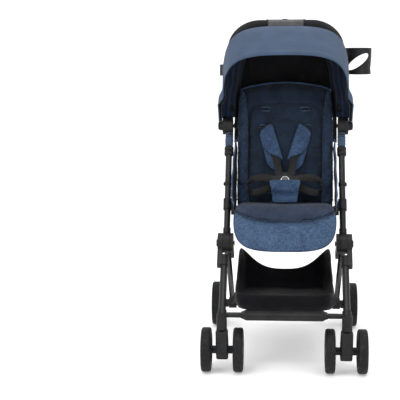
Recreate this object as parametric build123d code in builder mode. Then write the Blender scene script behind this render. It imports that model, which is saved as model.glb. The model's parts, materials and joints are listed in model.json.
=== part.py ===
"""A compact baby stroller, standing open on its wheels.

Frame: +Z up, the front faces -Y, +X is the left side of someone pushing it.
The origin is on the floor, in the plane of symmetry, near the middle of the wheelbase.
All sizes are in millimetres. Points of the side view are (y, z) pairs, and angles in the
side view are in degrees, measured from +Y towards +Z.
"""

import os
from math import atan2, cos, degrees, dist, radians, sin

from build123d import *

os.makedirs("parts", exist_ok=True)

# ---- driving dimensions -------------------------------------------------
# Side view: axles and the pivots of the folding frame.
front_axle = (-275.0, 67.0)
rear_axle = (270.0, 74.5)
knuckle = (-105.0, 360.0)  # side tubes, front legs and rear legs meet here
hub = (110.0, 705.0)  # handle, canopy and side tubes meet here
recline_pivot = (78.0, 436.0)
caster_trail = 30.0  # the casters' upright axis is this far ahead of their axle
leg_foot = (front_axle[0] - caster_trail, 160.0)

# Tubes: distance from the plane of symmetry, and outer radius.
side_x, side_r = 180.0, 10.0
front_leg_x, front_leg_r = 185.0, 11.0
rear_leg_x, rear_leg_r = 178.0, 9.0
handle_x, handle_r = 180.0, 11.0
wall = 1.6

# Pivots: a core drum on the side tube, with flat layers of moving parts on its faces.
core_half, knuckle_r, hub_r, pin_r = 11.0, 31.0, 28.0, 5.0
layer_gap = 0.3
socket_start, socket_end = 50.0, 86.0  # a leg's socket, measured from its pivot

# Wheels.
front_wheel_r, front_wheel_w, front_wheel_x = 67.0, 30.0, 48.0  # x from the caster's axis
rear_wheel_r, rear_wheel_w, rear_wheel_x = 74.5, 31.0, 232.5
axle_r, running_gap = 5.0, 0.1

# Handle.
handle_reach, handle_corner, housing_half = 383.0, 95.0, 59.0
cup_r, cup_wall, cup_height, cup_x = 42.5, 2.5, 85.0, 239.4

# Seat and canopy.
seat_half, seat_slope, seat_front_y = 155.0, 8.0, -128.0
back_half, back_angle, back_length = 154.0, 70.0, 420.0
rail_r, board = 8.0, 3.5
front_bow_angle, mid_bow_angle, rear_bow_angle = 126.0, 96.0, 66.0
canopy_inner, canopy_step = 192.0, 3.5  # half width of the front cloth, and growth of each next one
canopy_rise = (106.0, 122.0, 123.0)  # each cloth's height over the hub, less its half width
canopy_corner, cloth, bow = 105.0, 1.5, 2.4
canopy_spans = ((120.0, 128.0), (94.0, 118.0), (64.0, 95.0))  # the angles that each cloth covers

basket_half = 152.0
step_half = 129.0


# ---- helpers ------------------------------------------------------------
def point(x, side_view):
    return Vector(x, side_view[0], side_view[1])


def away(start, angle, distance):
    """The side-view point at that angle and distance from start."""
    return (start[0] + distance * cos(radians(angle)), start[1] + distance * sin(radians(angle)))


def angle_to(start, end):
    return degrees(atan2(end[1] - start[1], end[0] - start[0]))


def across(x, side_view):
    """A plane facing +X, with its own x axis along +Y and its y axis along +Z."""
    return Plane(origin=point(x, side_view), x_dir=(0, 1, 0), z_dir=(1, 0, 0))


def leaning(side_view, angle, offset=0.0):
    """A plane whose y axis points up at that angle in the side view, and that faces forward."""
    forward = (0, -sin(radians(angle)), cos(radians(angle)))
    return Plane(origin=point(0, side_view), x_dir=(1, 0, 0), z_dir=forward).offset(offset)


def finish(made, label):
    made.part.label = label
    export_step(made.part, f"parts/{label}.step")


def rod(x, start, end, radius, bore=0.0, mode=Mode.ADD):
    """A rod or tube between two points of the side view, at that x, for the open part."""
    with BuildSketch(Plane(origin=point(x, start), z_dir=point(x, end) - point(x, start))) as section:
        Circle(radius)
        if bore:
            Circle(bore, mode=Mode.SUBTRACT)
    extrude(section.sketch, amount=dist(start, end), mode=mode)


def drum(x_low, x_high, centre, radius, mode=Mode.ADD):
    """A short cylinder about an axis along X, for the open part."""
    with BuildSketch(across(min(x_low, x_high), centre)) as section:
        Circle(radius)
    extrude(section.sketch, amount=abs(x_high - x_low), mode=mode)


def plate(x_low, x_high, outline, mode=Mode.ADD):
    """A flat piece between two x positions, with its outline in the side view, for the open part."""
    with BuildSketch(across(min(x_low, x_high), (0, 0))) as section:
        with BuildLine() as edge:
            Polyline(*outline, close=True)
        make_face(edge.edges())
    extrude(section.sketch, amount=abs(x_high - x_low), mode=mode)


def swept_tube(path, radius, bore):
    """A bent tube along a wire, for the open part."""
    with BuildSketch(Plane(origin=path @ 0, z_dir=path % 0)) as section:
        Circle(radius)
        Circle(bore, mode=Mode.SUBTRACT)
    sweep(section.sketch, path=path)


def soften(made, radius, least):
    """Round the circular edges that are larger than least."""
    edges = made.edges().filter_by(GeomType.CIRCLE)
    fillet(edges.filter_by(lambda edge: edge.radius > least), radius)


up_side = angle_to(knuckle, hub)
down_front = angle_to(knuckle, leg_foot)
down_rear = angle_to(knuckle, rear_axle)
up_handle = up_side
core_face = side_x + core_half
pivot_bore = pin_r + running_gap


# ---- side frame: tubes, pivot cores and their pins ------------------------
def side_frame():
    with BuildPart() as tubes:
        for x in (side_x, -side_x):
            rod(x, away(knuckle, up_side, 24), away(hub, up_side, -22), side_r, side_r - wall)
    finish(tubes, "side_tubes")

    for label, centre, radius, turn in (
        ("knuckle_cores", knuckle, knuckle_r, up_side),
        ("hub_shells", hub, hub_r, up_side + 180),
    ):
        with BuildPart() as cores:
            for x in (side_x, -side_x):
                drum(x - core_half, x + core_half, centre, radius)
            soften(cores, 1.2, 20)
            for x in (side_x, -side_x):
                neck, collar_end = away(centre, turn, radius - 4), away(centre, turn, radius + 18)
                rod(x, neck, collar_end, core_half - 0.1)
                rod(x, away(centre, turn, radius + 1), collar_end, side_r + 2)
                tube_seat = away(centre, turn, 22)
                rod(x, tube_seat, away(tube_seat, turn, 60), side_r + running_gap, mode=Mode.SUBTRACT)
                drum(x - 20, x + 20, centre, pivot_bore, mode=Mode.SUBTRACT)
        finish(cores, label)

    # Headed pins: a short one through each knuckle and a longer one through each hub.
    with BuildPart() as pins:
        for side in (1, -1):
            for centre, low, high, head in ((knuckle, 156.8, 209.0, 11.0), (hub, 166.5, 211.8, 13.0)):
                drum(side * low, side * high, centre, pin_r)
                drum(side * (low - 2), side * low, centre, 8)
                drum(side * high, side * (high + 2.5), centre, head)
        soften(pins, 0.8, 10)
    finish(pins, "frame_pins")

    # Sleeves round the side tubes, each with a lug that carries the seat rail.
    low, high = away(knuckle, up_side, 112), away(knuckle, up_side, 148)
    with BuildPart() as clips:
        for side in (1, -1):
            rod(side * side_x, low, high, side_r + 3.5)
            plate(side * 156.2, side * 168.5, ((-52, 440), (-26, 440), (-22, 480), (-46, 480)))
            start, end = away(low, up_side, -40), away(high, up_side, 40)
            rod(side * side_x, start, end, side_r + running_gap, mode=Mode.SUBTRACT)
    finish(clips, "seat_clips")


# ---- seat ---------------------------------------------------------------
def seat_level(offset=0.0):
    """A plane on the seat rail's centre line, sloping up towards the front."""
    up = (0, sin(radians(seat_slope)), cos(radians(seat_slope)))
    rear = (0, recline_pivot[0], recline_pivot[1] - 8)
    return Plane(origin=rear, x_dir=(1, 0, 0), z_dir=up).offset(offset)


seat_depth = (recline_pivot[0] - seat_front_y) / cos(radians(seat_slope))


def slab(level, centre, size, corner, thickness):
    """A flat slab with rounded corners on a plane, for the open part."""
    with BuildSketch(level) as section:
        with Locations(centre):
            RectangleRounded(size[0], size[1], corner)
    extrude(section.sketch, amount=thickness)


def seat():
    rail_x, rail_end = 148.0, 22.0
    with BuildPart() as rail:
        with BuildLine(seat_level()) as path:
            FilletPolyline(
                (rail_x, -rail_end), (rail_x, -seat_depth),
                (-rail_x, -seat_depth), (-rail_x, -rail_end), radius=38,
            )
        swept_tube(path.wires()[0], rail_r, rail_r - wall)
    finish(rail, "seat_rail")

    # Plates at the rail's rear ends hold the pins that the seat back turns on.
    with BuildPart() as brackets:
        for side in (1, -1):
            drum(side * 156.4, side * 161, recline_pivot, 13)
            plate(side * 156.4, side * 161, ((66, 446), (20, 452), (20, 430), (72, 424)))
            drum(side * 140.2, side * 161, recline_pivot, 4)
    finish(brackets, "recline_brackets")

    with BuildPart() as pan:
        slab(seat_level(rail_r + 0.2), (0, -seat_depth / 2 - 9), (290, seat_depth - 22), 24, board)
    finish(pan, "seat_pan")

    with BuildPart() as cushion:
        size = (2 * seat_half, seat_depth - 4)
        slab(seat_level(rail_r + board + 0.4), (0, -seat_depth / 2 - 8), size, 30, 17)
        fillet(cushion.faces().sort_by(Axis.Z)[-1].edges(), 6)
    finish(cushion, "seat_cushion")

    with BuildPart() as calf:
        plate(-156, 156, (
            (-140.5, 469), (-151, 477), (-166, 463), (-207, 358), (-198, 350), (-187, 353), (-140.5, 448),
        ))
        fillet(calf.edges().filter_by(Axis.X).group_by(Axis.Z)[0], 3)
    finish(calf, "calf_rest")

    # Side wings: the cloth between the cushion's edge and the side tube.
    with BuildPart() as wings:
        for side in (1, -1):
            outline = ((-72, 496), (-60, 484), (-16, 484), (60, 474), (98, 600), (92, 664), (60, 640))
            plate(side * 156.6, side * 159.6, outline)
    finish(wings, "side_wings")


crotch_base, crotch_angle, crotch_length = (-25.0, 473.0), 66.0, 40.0
buckle_centre = away(crotch_base, crotch_angle, crotch_length + 31)


def harness():
    with BuildPart() as pad:
        with BuildSketch(leaning(crotch_base, crotch_angle)) as section:
            with BuildLine() as edge:
                Polyline((-41, 3), (41, 3), (50, crotch_length), (-50, crotch_length), close=True)
            make_face(edge.edges())
        extrude(section.sketch, amount=10)
    finish(pad, "crotch_pad")

    with BuildPart() as buckle:
        with BuildSketch(leaning(buckle_centre, crotch_angle)) as section:
            Circle(27)
            with Locations((0, 4)):
                RectangleRounded(78, 24, 7)
        extrude(section.sketch, amount=13)
        with BuildSketch(leaning(buckle_centre, crotch_angle, 3)) as well:
            Circle(12.4)
        extrude(well.sketch, amount=20, mode=Mode.SUBTRACT)
    finish(buckle, "buckle_body")

    with BuildPart() as button:
        with BuildSketch(leaning(buckle_centre, crotch_angle, 6.5)) as section:
            Circle(12)
        extrude(section.sketch, amount=8)
        fillet(button.faces().sort_by(Axis.Y)[0].edges(), 1.2)
    finish(button, "buckle_button")

    # Two lap straps from the seat's rear corners to the buckle.
    with BuildPart() as straps:
        for side in (1, -1):
            high = away(buckle_centre, crotch_angle, -2)
            start = Vector(side * 138, 24, 488)
            end = Vector(side * 45, high[0] - 4, high[1] + 4)
            run = end - start
            with BuildSketch(Plane(origin=start, x_dir=(0, -0.4, 0.9165), z_dir=run)) as section:
                Rectangle(25, 2)
            extrude(section.sketch, amount=run.length)
    finish(straps, "waist_straps")


# ---- seat back ------------------------------------------------------------
def seat_back():
    frame_x, frame_r = back_half - 7, 7.0
    with BuildPart() as frame:
        with BuildLine(leaning(recline_pivot, back_angle)) as path:
            FilletPolyline(
                (frame_x, 9), (frame_x, back_length), (-frame_x, back_length), (-frame_x, 9), radius=45
            )
        swept_tube(path.wires()[0], frame_r, frame_r - wall)
        for side in (1, -1):
            drum(side * 140.5, side * 154, recline_pivot, 11)
            drum(side * 139, side * 155, recline_pivot, 4 + running_gap, mode=Mode.SUBTRACT)
    finish(frame, "back_frame")

    with BuildPart() as stiffener:
        centre = (0, 20 + (back_length - 18) / 2)
        slab(leaning(recline_pivot, back_angle, 7.3), centre, (290, back_length - 18), 45, 3)
    finish(stiffener, "back_board")

    with BuildPart() as cushion:
        centre = (0, 44 + (back_length - 42) / 2)
        slab(leaning(recline_pivot, back_angle, 10.6), centre, (2 * seat_half - 4, back_length - 38), 50, 30)
        facing = Axis(origin=(0, 0, 0), direction=leaning(recline_pivot, back_angle).z_dir)
        fillet(cushion.faces().sort_by(facing)[-1].edges(), 9)
    finish(cushion, "back_cushion")

    # Shoulder pads lie on the cushion and lean in towards the buckle; straps join them to it.
    face = leaning(recline_pivot, back_angle, 41.0)
    with BuildPart() as pads:
        for side in (1, -1):
            with BuildSketch(face) as section:
                with BuildLine() as edge:
                    Polyline(
                        (side * 40, 282), (side * 84, 262), (side * 78, 240), (side * 34, 132),
                        (side * 8, 150), (side * 12, 186), close=True,
                    )
                make_face(edge.edges())
            extrude(section.sketch, amount=13)
    finish(pads, "shoulder_pads")

    with BuildPart() as straps:
        for side in (1, -1):
            with BuildSketch(face) as section:
                with BuildLine() as edge:
                    Polyline(
                        (side * 56, 277.5), (side * 78, 267.5), (side * 81, 274), (side * 59, 284),
                        close=True,
                    )
                make_face(edge.edges())
            extrude(section.sketch, amount=2.2)
    finish(straps, "shoulder_straps")


# ---- folding legs -----------------------------------------------------------
def leg_layer(centre, x, face, depth, turn, radius, tube_r, width=24.0):
    """A pivot drum, an arm and a tube socket, for the open part. Depth's sign is the drum's side."""
    side = 1 if x > 0 else -1
    near, far = side * face, side * (face + depth)
    drum(near, far, centre, radius)
    plate(near, far, (
        away(centre, turn + 90, width / 2),
        away(centre, turn - 90, width / 2),
        away(away(centre, turn, socket_end), turn - 90, width / 2 - 1),
        away(away(centre, turn, socket_end), turn + 90, width / 2 - 1),
    ))
    rod(x, away(centre, turn, socket_start), away(centre, turn, socket_end), tube_r + 2.5)


def leg_cuts(centre, x, turn, tube_r):
    """The tube's seat and the pin's bore."""
    seat_start = away(centre, turn, socket_start + 4)
    rod(x, seat_start, away(seat_start, turn, 60), tube_r + running_gap, mode=Mode.SUBTRACT)
    drum(x - 45, x + 45, centre, pivot_bore, mode=Mode.SUBTRACT)


def front_legs():
    foot_joint = away(leg_foot, down_front, -14)
    start = away(knuckle, down_front, socket_start + 5)
    with BuildPart() as tubes:
        for x in (front_leg_x, -front_leg_x):
            rod(x, start, foot_joint, front_leg_r, front_leg_r - wall)
    finish(tubes, "front_leg_tubes")

    # Sockets at the knuckle, and feet that take the casters' stems.
    with BuildPart() as fittings:
        for x in (front_leg_x, -front_leg_x):
            leg_layer(knuckle, x, core_face + layer_gap, 15.5, down_front, knuckle_r, front_leg_r)
            leg_cuts(knuckle, x, down_front, front_leg_r)
        for x in (front_leg_x, -front_leg_x):
            rod(x, away(foot_joint, down_front, -26), leg_foot, front_leg_r + 2.5)
            rod(x, (leg_foot[0], 138.5), (leg_foot[0], 184), 15.5)
            tube_seat = front_leg_r + running_gap
            rod(x, away(foot_joint, down_front, -60), foot_joint, tube_seat, mode=Mode.SUBTRACT)
            rod(x, (leg_foot[0], 130), (leg_foot[0], 170), 6 + running_gap, mode=Mode.SUBTRACT)
    finish(fittings, "front_leg_fittings")

    rest, bar_half = away(knuckle, down_front, 258), 171.0
    with BuildPart() as bar:
        with BuildSketch(across(-bar_half, rest)):
            Circle(8)
            Circle(8 - wall, mode=Mode.SUBTRACT)
        extrude(amount=2 * bar_half)
    finish(bar, "footrest_bar")

    with BuildPart() as step:
        outline = (
            (rest[0] - 38, 166), (rest[0] - 34, 190), (rest[0] - 6, 198),
            (rest[0] + 20, 190), (rest[0] + 16, 168), (rest[0] - 10, 160),
        )
        plate(-step_half, step_half, outline)
        drum(-200, 200, rest, 8.1, mode=Mode.SUBTRACT)
    finish(step, "footrest_step")


def basket():
    """An open bag between the front legs, deeper at the rear, with a dip in its rim."""
    floor_front, floor_rear = (-228, 187), (226, 137)
    rim_rear, rim_dip, rim_front = (238, 288), (-108, 205), (-246, 226)
    skin = 2.5
    with BuildPart() as bag:
        plate(-basket_half, basket_half, (floor_front, floor_rear, rim_rear, rim_dip, rim_front))
        fillet(bag.edges().filter_by(Axis.X).group_by(Axis.Z)[0], 18)
        inside = (
            (floor_front[0] + skin, floor_front[1] + skin), (floor_rear[0] - skin, floor_rear[1] + skin),
            (rim_rear[0] - skin, rim_rear[1] + 40), (rim_dip[0], rim_dip[1] + 60),
            (rim_front[0] + skin - 6, rim_front[1] + 40),
        )
        plate(-basket_half + skin, basket_half - skin, inside, mode=Mode.SUBTRACT)
    finish(bag, "basket")


def rear_legs():
    start = away(knuckle, down_rear, socket_start + 5)
    end = away(rear_axle, down_rear, -14)
    with BuildPart() as tubes:
        for x in (rear_leg_x, -rear_leg_x):
            rod(x, start, end, rear_leg_r, rear_leg_r - wall)
    finish(tubes, "rear_leg_tubes")

    # The rear layer sits inside the core, clear of the seat.
    layer = side_x - core_half - layer_gap
    with BuildPart() as fittings:
        for x in (rear_leg_x, -rear_leg_x):
            leg_layer(knuckle, x, layer, -9.7, down_rear, knuckle_r, rear_leg_r)
            leg_cuts(knuckle, x, down_rear, rear_leg_r)
        for x in (rear_leg_x, -rear_leg_x):
            rod(x, away(end, down_rear, -26), rear_axle, rear_leg_r + 2.5)
            drum(x - 13, x + 13, rear_axle, 17)
            rod(x, away(end, down_rear, -60), end, rear_leg_r + running_gap, mode=Mode.SUBTRACT)
            drum(x - 30, x + 30, rear_axle, 9 + running_gap, mode=Mode.SUBTRACT)
    finish(fittings, "rear_leg_fittings")

    bar_half, stub_end = 206.0, rear_wheel_x + rear_wheel_w / 2 - 1
    with BuildPart() as bar:
        drum(-bar_half, bar_half, rear_axle, 9)
        drum(-stub_end, stub_end, rear_axle, axle_r)
        for side in (1, -1):
            drum(side * 192.5, side * bar_half, rear_axle, 14)
    finish(bar, "rear_axle_bar")

    # A foot pedal that clasps the axle bar beside the left leg.
    with BuildPart() as pedal:
        drum(100, 150, rear_axle, 14)
        tread = away(rear_axle, 12, 46)
        plate(102, 148, (
            away(rear_axle, 100, 12), away(tread, 100, 7), away(tread, -80, 3), away(rear_axle, -60, 12),
        ))
        drum(90, 160, rear_axle, 9 + running_gap, mode=Mode.SUBTRACT)
    finish(pedal, "brake_pedal")


# ---- wheels -----------------------------------------------------------------
def wheel(label, x, axle, radius, width, spokes):
    """A wheel about an axis along X: a spoked hub that fills a tyre."""
    rim_r, rim_in, boss_r, half = 0.72 * radius, 0.62 * radius, 13.0, width / 2
    section_plane = Plane(origin=point(x, axle), x_dir=(0, 0, 1), z_dir=(0, 1, 0))
    spin = Axis(origin=point(x, axle), direction=(1, 0, 0))
    with BuildPart() as tyre:
        with BuildSketch(section_plane) as section:
            with Locations(((rim_r + radius) / 2 + 0.1, 0)):
                Rectangle(radius - rim_r - 0.2, width)
        revolve(section.sketch, axis=spin)
        soften(tyre, 6.0, radius - 1)
    finish(tyre, f"{label}_tyre")

    with BuildPart() as hub_part:
        drum(x - half + 2, x + half - 2, axle, rim_r)
        drum(x - half, x + half, axle, rim_in, mode=Mode.SUBTRACT)
        drum(x - half + 1, x + half - 1, axle, boss_r)
        for number in range(spokes):
            turn = 90 + 360 * number / spokes
            root, tip = away(axle, turn, 6), away(axle, turn, rim_in + 1)
            plate(x - 5, x + 5, (
                away(root, turn + 90, 6), away(root, turn - 90, 6),
                away(tip, turn - 90, 4), away(tip, turn + 90, 4),
            ))
        drum(x - half, x + half, axle, axle_r + running_gap, mode=Mode.SUBTRACT)
    finish(hub_part, f"{label}_hub")


def casters():
    stem_top, top = 168.0, 136.0
    fork_half, arm_end = 18.0, front_wheel_x - front_wheel_w / 2 - 0.8
    for name, x in (("left", front_leg_x), ("right", -front_leg_x)):
        with BuildPart() as body:
            plate(x - fork_half, x + fork_half, (
                (leg_foot[0] - 17, top - 6), (leg_foot[0] - 10, top), (leg_foot[0] + 14, top),
                (leg_foot[0] + 20, top - 10), (front_axle[0] + 22, 84), (front_axle[0] + 24, 60),
                (front_axle[0] + 10, 41), (front_axle[0] - 12, 39.5), (leg_foot[0] - 4, 62),
            ))
            fillet(body.edges().filter_by(Axis.X), 3)
            fillet(body.faces().sort_by(Axis.Z)[-1].edges().filter_by(Axis.Y), 5)
            rod(x, (leg_foot[0], top - 20), (leg_foot[0], stem_top), 6)
            drum(x - 30, x + 30, front_axle, axle_r + 0.05, mode=Mode.SUBTRACT)
        finish(body, f"caster_{name}_fork")

        with BuildPart() as axle:
            reach = front_wheel_x + front_wheel_w / 2 - 1
            drum(x - reach, x + reach, front_axle, axle_r)
            for side in (1, -1):
                drum(x + side * (fork_half + 0.2), x + side * arm_end, front_axle, 12)
        finish(axle, f"caster_{name}_axle")

        for place, side in (("outer", 1 if x > 0 else -1), ("inner", -1 if x > 0 else 1)):
            label = f"front_{name}_{place}"
            wheel(label, x + side * front_wheel_x, front_axle, front_wheel_r, front_wheel_w, 5)


def rear_wheels():
    for name, side in (("left", 1), ("right", -1)):
        wheel(f"rear_{name}", side * rear_wheel_x, rear_axle, rear_wheel_r, rear_wheel_w, 6)


# ---- handle -----------------------------------------------------------------
def handle():
    grip_start = 285.0
    across_handle = leaning(hub, up_handle)  # its y axis runs up the handle
    with BuildPart() as tube:
        with BuildLine(across_handle) as path:
            FilletPolyline(
                (handle_x, socket_start + 5), (handle_x, handle_reach), (-handle_x, handle_reach),
                (-handle_x, socket_start + 5), radius=handle_corner,
            )
        swept_tube(path.wires()[0], handle_r, handle_r - wall)
    finish(tube, "handle_tube")

    with BuildPart() as sockets:
        for x in (handle_x, -handle_x):
            leg_layer(hub, x, core_face + layer_gap, 10.5, up_handle, hub_r, handle_r)
            leg_cuts(hub, x, up_handle, handle_r)
    finish(sockets, "handle_sockets")

    # Foam grips run round the corners up to the housing in the middle.
    with BuildPart() as grips:
        for side in (1, -1):
            with BuildLine(across_handle) as path:
                FilletPolyline(
                    (side * handle_x, grip_start), (side * handle_x, handle_reach),
                    (side * (housing_half + 0.4), handle_reach), radius=handle_corner,
                )
            swept_tube(path.wires()[0], handle_r + 2.6, handle_r + 0.05)
    finish(grips, "handle_grips")

    middle = away(hub, up_handle, handle_reach)
    with BuildPart() as housing:
        with BuildSketch(across(-housing_half, middle)) as section:
            RectangleRounded(32, 30, 10)
        extrude(section.sketch, amount=2 * housing_half)
        soften(housing, 2, 8)
        drum(-100, 100, middle, handle_r + 0.05, mode=Mode.SUBTRACT)
        # Below: a slot for the fold trigger. On top: a slot for its lock.
        with BuildSketch(Plane.XY.offset(middle[1] - 16)) as slot:
            with Locations((0, middle[0])):
                RectangleRounded(62, 18, 4)
        extrude(slot.sketch, amount=4.4, mode=Mode.SUBTRACT)
        with BuildSketch(Plane.XY.offset(middle[1] + 11.4)) as slot:
            with Locations((0, middle[0])):
                RectangleRounded(26, 14, 3)
        extrude(slot.sketch, amount=4.4, mode=Mode.SUBTRACT)
    finish(housing, "handle_housing")

    with BuildPart() as trigger:
        with BuildSketch(Plane.XY.offset(middle[1] - 21)) as bar:
            with Locations((0, middle[0])):
                RectangleRounded(60.8, 16.8, 3.6)
        extrude(bar.sketch, amount=6.5)
        fillet(trigger.faces().sort_by(Axis.Z)[0].edges(), 1.5)
    finish(trigger, "fold_trigger")

    with BuildPart() as lock:
        with BuildSketch(Plane.XY.offset(middle[1] + 12.2)) as button:
            with Locations((-3, middle[0])):
                RectangleRounded(18, 12.8, 2.6)
        extrude(button.sketch, amount=5)
        fillet(lock.faces().sort_by(Axis.Z)[-1].edges(), 1.2)
    finish(lock, "fold_lock")


def cup_holder():
    at = away(hub, up_handle, 241)  # where the clamp grips the tube
    cup_base, window_x, clamp_face = at[1] - 44.0, cup_x - 1.4, 196.6
    with BuildPart() as clamp:
        rod(handle_x, away(at, up_handle, -20), away(at, up_handle, 20), handle_r + 4)
        plate(handle_x + 8, clamp_face, (
            (at[0] - 12, at[1] - 26), (at[0] + 10, at[1] - 26),
            (at[0] + 14, at[1] + 22), (at[0] - 8, at[1] + 22),
        ))
        low, high = away(at, up_handle, -60), away(at, up_handle, 60)
        rod(handle_x, low, high, handle_r + 0.05, mode=Mode.SUBTRACT)
    finish(clamp, "cup_holder_clamp")

    # The cup: a round wall with a slanting oval window through it, and a lip at its floor.
    inner = cup_r - cup_wall
    waist_r, waist_height, lip_r = cup_r - 3.0, 18.0, cup_r - 1.2
    spin = Axis(origin=(cup_x, at[0], 0), direction=(0, 0, 1))
    profile_plane = Plane(origin=(cup_x, at[0], cup_base), x_dir=(1, 0, 0), z_dir=(0, -1, 0))
    with BuildPart() as cup:
        with BuildSketch(profile_plane) as section:
            with BuildLine() as edge:
                Polyline(
                    (0, 0), (lip_r, 0), (lip_r, 2.5), (waist_r, waist_height), (cup_r - 0.8, 45),
                    (cup_r, 60), (cup_r, cup_height), (inner, cup_height), (inner, 60),
                    (waist_r - cup_wall, waist_height + 2), (waist_r - cup_wall, 3), (0, 3), close=True,
                )
            make_face(edge.edges())
        revolve(section.sketch, axis=spin)
        window = Plane(origin=(window_x, at[0], cup_base + 40), x_dir=(1, 0, 0), z_dir=(0, -1, 0))
        with BuildSketch(window) as oval:
            Ellipse(42, 17, rotation=37)
        extrude(oval.sketch, amount=100, both=True, mode=Mode.SUBTRACT)
    finish(cup, "cup_holder")


# ---- canopy -----------------------------------------------------------------
# The canopy opens about the hub's axis. Its cloth is three shells that slide over one another,
# number 0 at the front and each next one larger; a flat bow carries the edge of each.
def canopy_plane(angle):
    """A plane through the hub's axis: its x axis along +X, its y axis outwards at that angle."""
    outwards = Vector(0, cos(radians(angle)), sin(radians(angle)))
    return Plane(origin=point(0, hub), x_dir=(1, 0, 0), z_dir=Vector(1, 0, 0).cross(outwards))


def canopy_size(number, inset=0.0):
    """Half width and crown height of one shell's middle surface, less an inset."""
    half = canopy_inner + number * canopy_step - inset
    return half, half + canopy_rise[number]


def canopy_shell(number, start_r=124.0):
    """One shell of cloth, for the open part. It starts that far from the hub's axis."""
    half, crown = canopy_size(number)
    low_angle, high_angle = canopy_spans[number]
    with BuildSketch(canopy_plane(low_angle)) as section:
        with BuildLine() as line:
            FilletPolyline(
                (half, start_r), (half, crown - 4), (0, crown), (-half, crown - 4), (-half, start_r),
                radius=[canopy_corner, 2000, canopy_corner],
            )
        trace(line.edges(), line_width=cloth)
    spin = Axis(origin=point(0, hub), direction=(1, 0, 0))
    revolve(section.sketch, axis=spin, revolution_arc=high_angle - low_angle)


def canopy_bow(number, angle, arm_x):
    """A flat bow inside a shell, with an eye at the hub in the layer that starts at arm_x."""
    half, crown = canopy_size(number, (cloth + bow) / 2 + 0.25)
    arm = arm_x + bow / 2
    step_in, step_end = 88, 118  # past the handle's sockets, the arms step in under the cloth
    with BuildSketch(canopy_plane(angle)) as section:
        with BuildLine() as line:
            FilletPolyline(
                (arm, 12), (arm, step_in), (half, step_end), (half, crown - 4), (0, crown),
                (-half, crown - 4), (-half, step_end), (-arm, step_in), (-arm, 12),
                radius=[8, 8, canopy_corner, 2000, canopy_corner, 8, 8],
            )
        trace(line.edges(), line_width=bow)
    extrude(section.sketch, amount=4, both=True)
    for side in (1, -1):
        drum(side * arm_x, side * (arm_x + bow), hub, 15)
        drum(side * (arm_x - 5), side * (arm_x + bow + 5), hub, pivot_bore, mode=Mode.SUBTRACT)


def canopy():
    handle_face = core_face + layer_gap + 10.5
    for label, number, angle, layer in (
        ("canopy_front_bow", 0, front_bow_angle, handle_face + 1),
        ("canopy_mid_bow", 1, mid_bow_angle, handle_face + 4),
        ("canopy_rear_bow", 2, rear_bow_angle, handle_face + 7),
    ):
        with BuildPart() as made:
            canopy_bow(number, angle, layer)
        finish(made, label)

    for number, label in enumerate(("canopy_front_panel", "canopy_mid_panel", "canopy_rear_panel")):
        with BuildPart() as panel:
            canopy_shell(number)
        finish(panel, label)

    # The cloth wall that hangs from the rear bow, behind the child's head.
    with BuildPart() as wall_panel:
        plate(-128, 128, ((226, 858), (227.5, 858), (242.5, 976), (241, 976)))
    finish(wall_panel, "canopy_back_wall")


side_frame()
seat()
harness()
seat_back()
front_legs()
basket()
rear_legs()
casters()
rear_wheels()
handle()
cup_holder()
canopy()
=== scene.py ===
"""The looks of a compact baby stroller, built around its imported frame.

Metres, +Z up, and the front faces -Y. Places come from the frame's joints and nodes.
On the seat back, (u, v, w) are across, up along the back, and out of it.
"""

import json
from math import cos, pi, radians, sin

import bmesh
import bpy
import numpy as np
from mathutils import Matrix, Vector, noise
from mathutils.bvhtree import BVHTree
from mathutils.geometry import delaunay_2d_cdt
from mathutils.kdtree import KDTree

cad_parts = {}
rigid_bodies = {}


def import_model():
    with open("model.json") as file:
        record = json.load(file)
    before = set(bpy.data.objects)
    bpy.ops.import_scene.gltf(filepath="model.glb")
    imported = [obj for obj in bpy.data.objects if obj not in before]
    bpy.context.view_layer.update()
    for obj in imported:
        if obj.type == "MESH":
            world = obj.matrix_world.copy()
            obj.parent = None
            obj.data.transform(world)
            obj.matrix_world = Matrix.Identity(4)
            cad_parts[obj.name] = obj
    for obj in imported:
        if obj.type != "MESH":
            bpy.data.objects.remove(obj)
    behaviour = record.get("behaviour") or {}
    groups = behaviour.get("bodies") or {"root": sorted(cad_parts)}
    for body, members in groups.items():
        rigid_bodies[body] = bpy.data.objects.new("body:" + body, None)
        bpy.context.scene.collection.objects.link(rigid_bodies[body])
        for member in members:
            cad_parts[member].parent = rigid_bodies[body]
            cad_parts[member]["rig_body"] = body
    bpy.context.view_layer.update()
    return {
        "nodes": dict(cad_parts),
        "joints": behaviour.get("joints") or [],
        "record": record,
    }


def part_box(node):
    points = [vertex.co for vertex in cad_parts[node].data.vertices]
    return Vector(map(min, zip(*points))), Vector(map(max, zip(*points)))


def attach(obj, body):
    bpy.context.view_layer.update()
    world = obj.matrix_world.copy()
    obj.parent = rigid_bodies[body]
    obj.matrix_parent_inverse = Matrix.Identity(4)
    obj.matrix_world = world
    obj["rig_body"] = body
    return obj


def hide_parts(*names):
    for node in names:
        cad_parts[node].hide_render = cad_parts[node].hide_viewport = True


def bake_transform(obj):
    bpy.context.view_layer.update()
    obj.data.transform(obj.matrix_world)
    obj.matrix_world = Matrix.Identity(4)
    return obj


for leftover in list(bpy.data.objects):
    bpy.data.objects.remove(leftover)
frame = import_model()
scene = bpy.context.scene

SIDES = (("left", 1), ("right", -1))
ACROSS = Vector((1, 0, 0))
UP = Vector((0, 0, 1))


def joint_place(name):
    """A joint's place in the side view, on the plane of symmetry."""
    found = next(joint for joint in frame["joints"] if joint["name"] == name)
    return Vector((0, found["pos_m"][1], found["pos_m"][2]))


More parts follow.
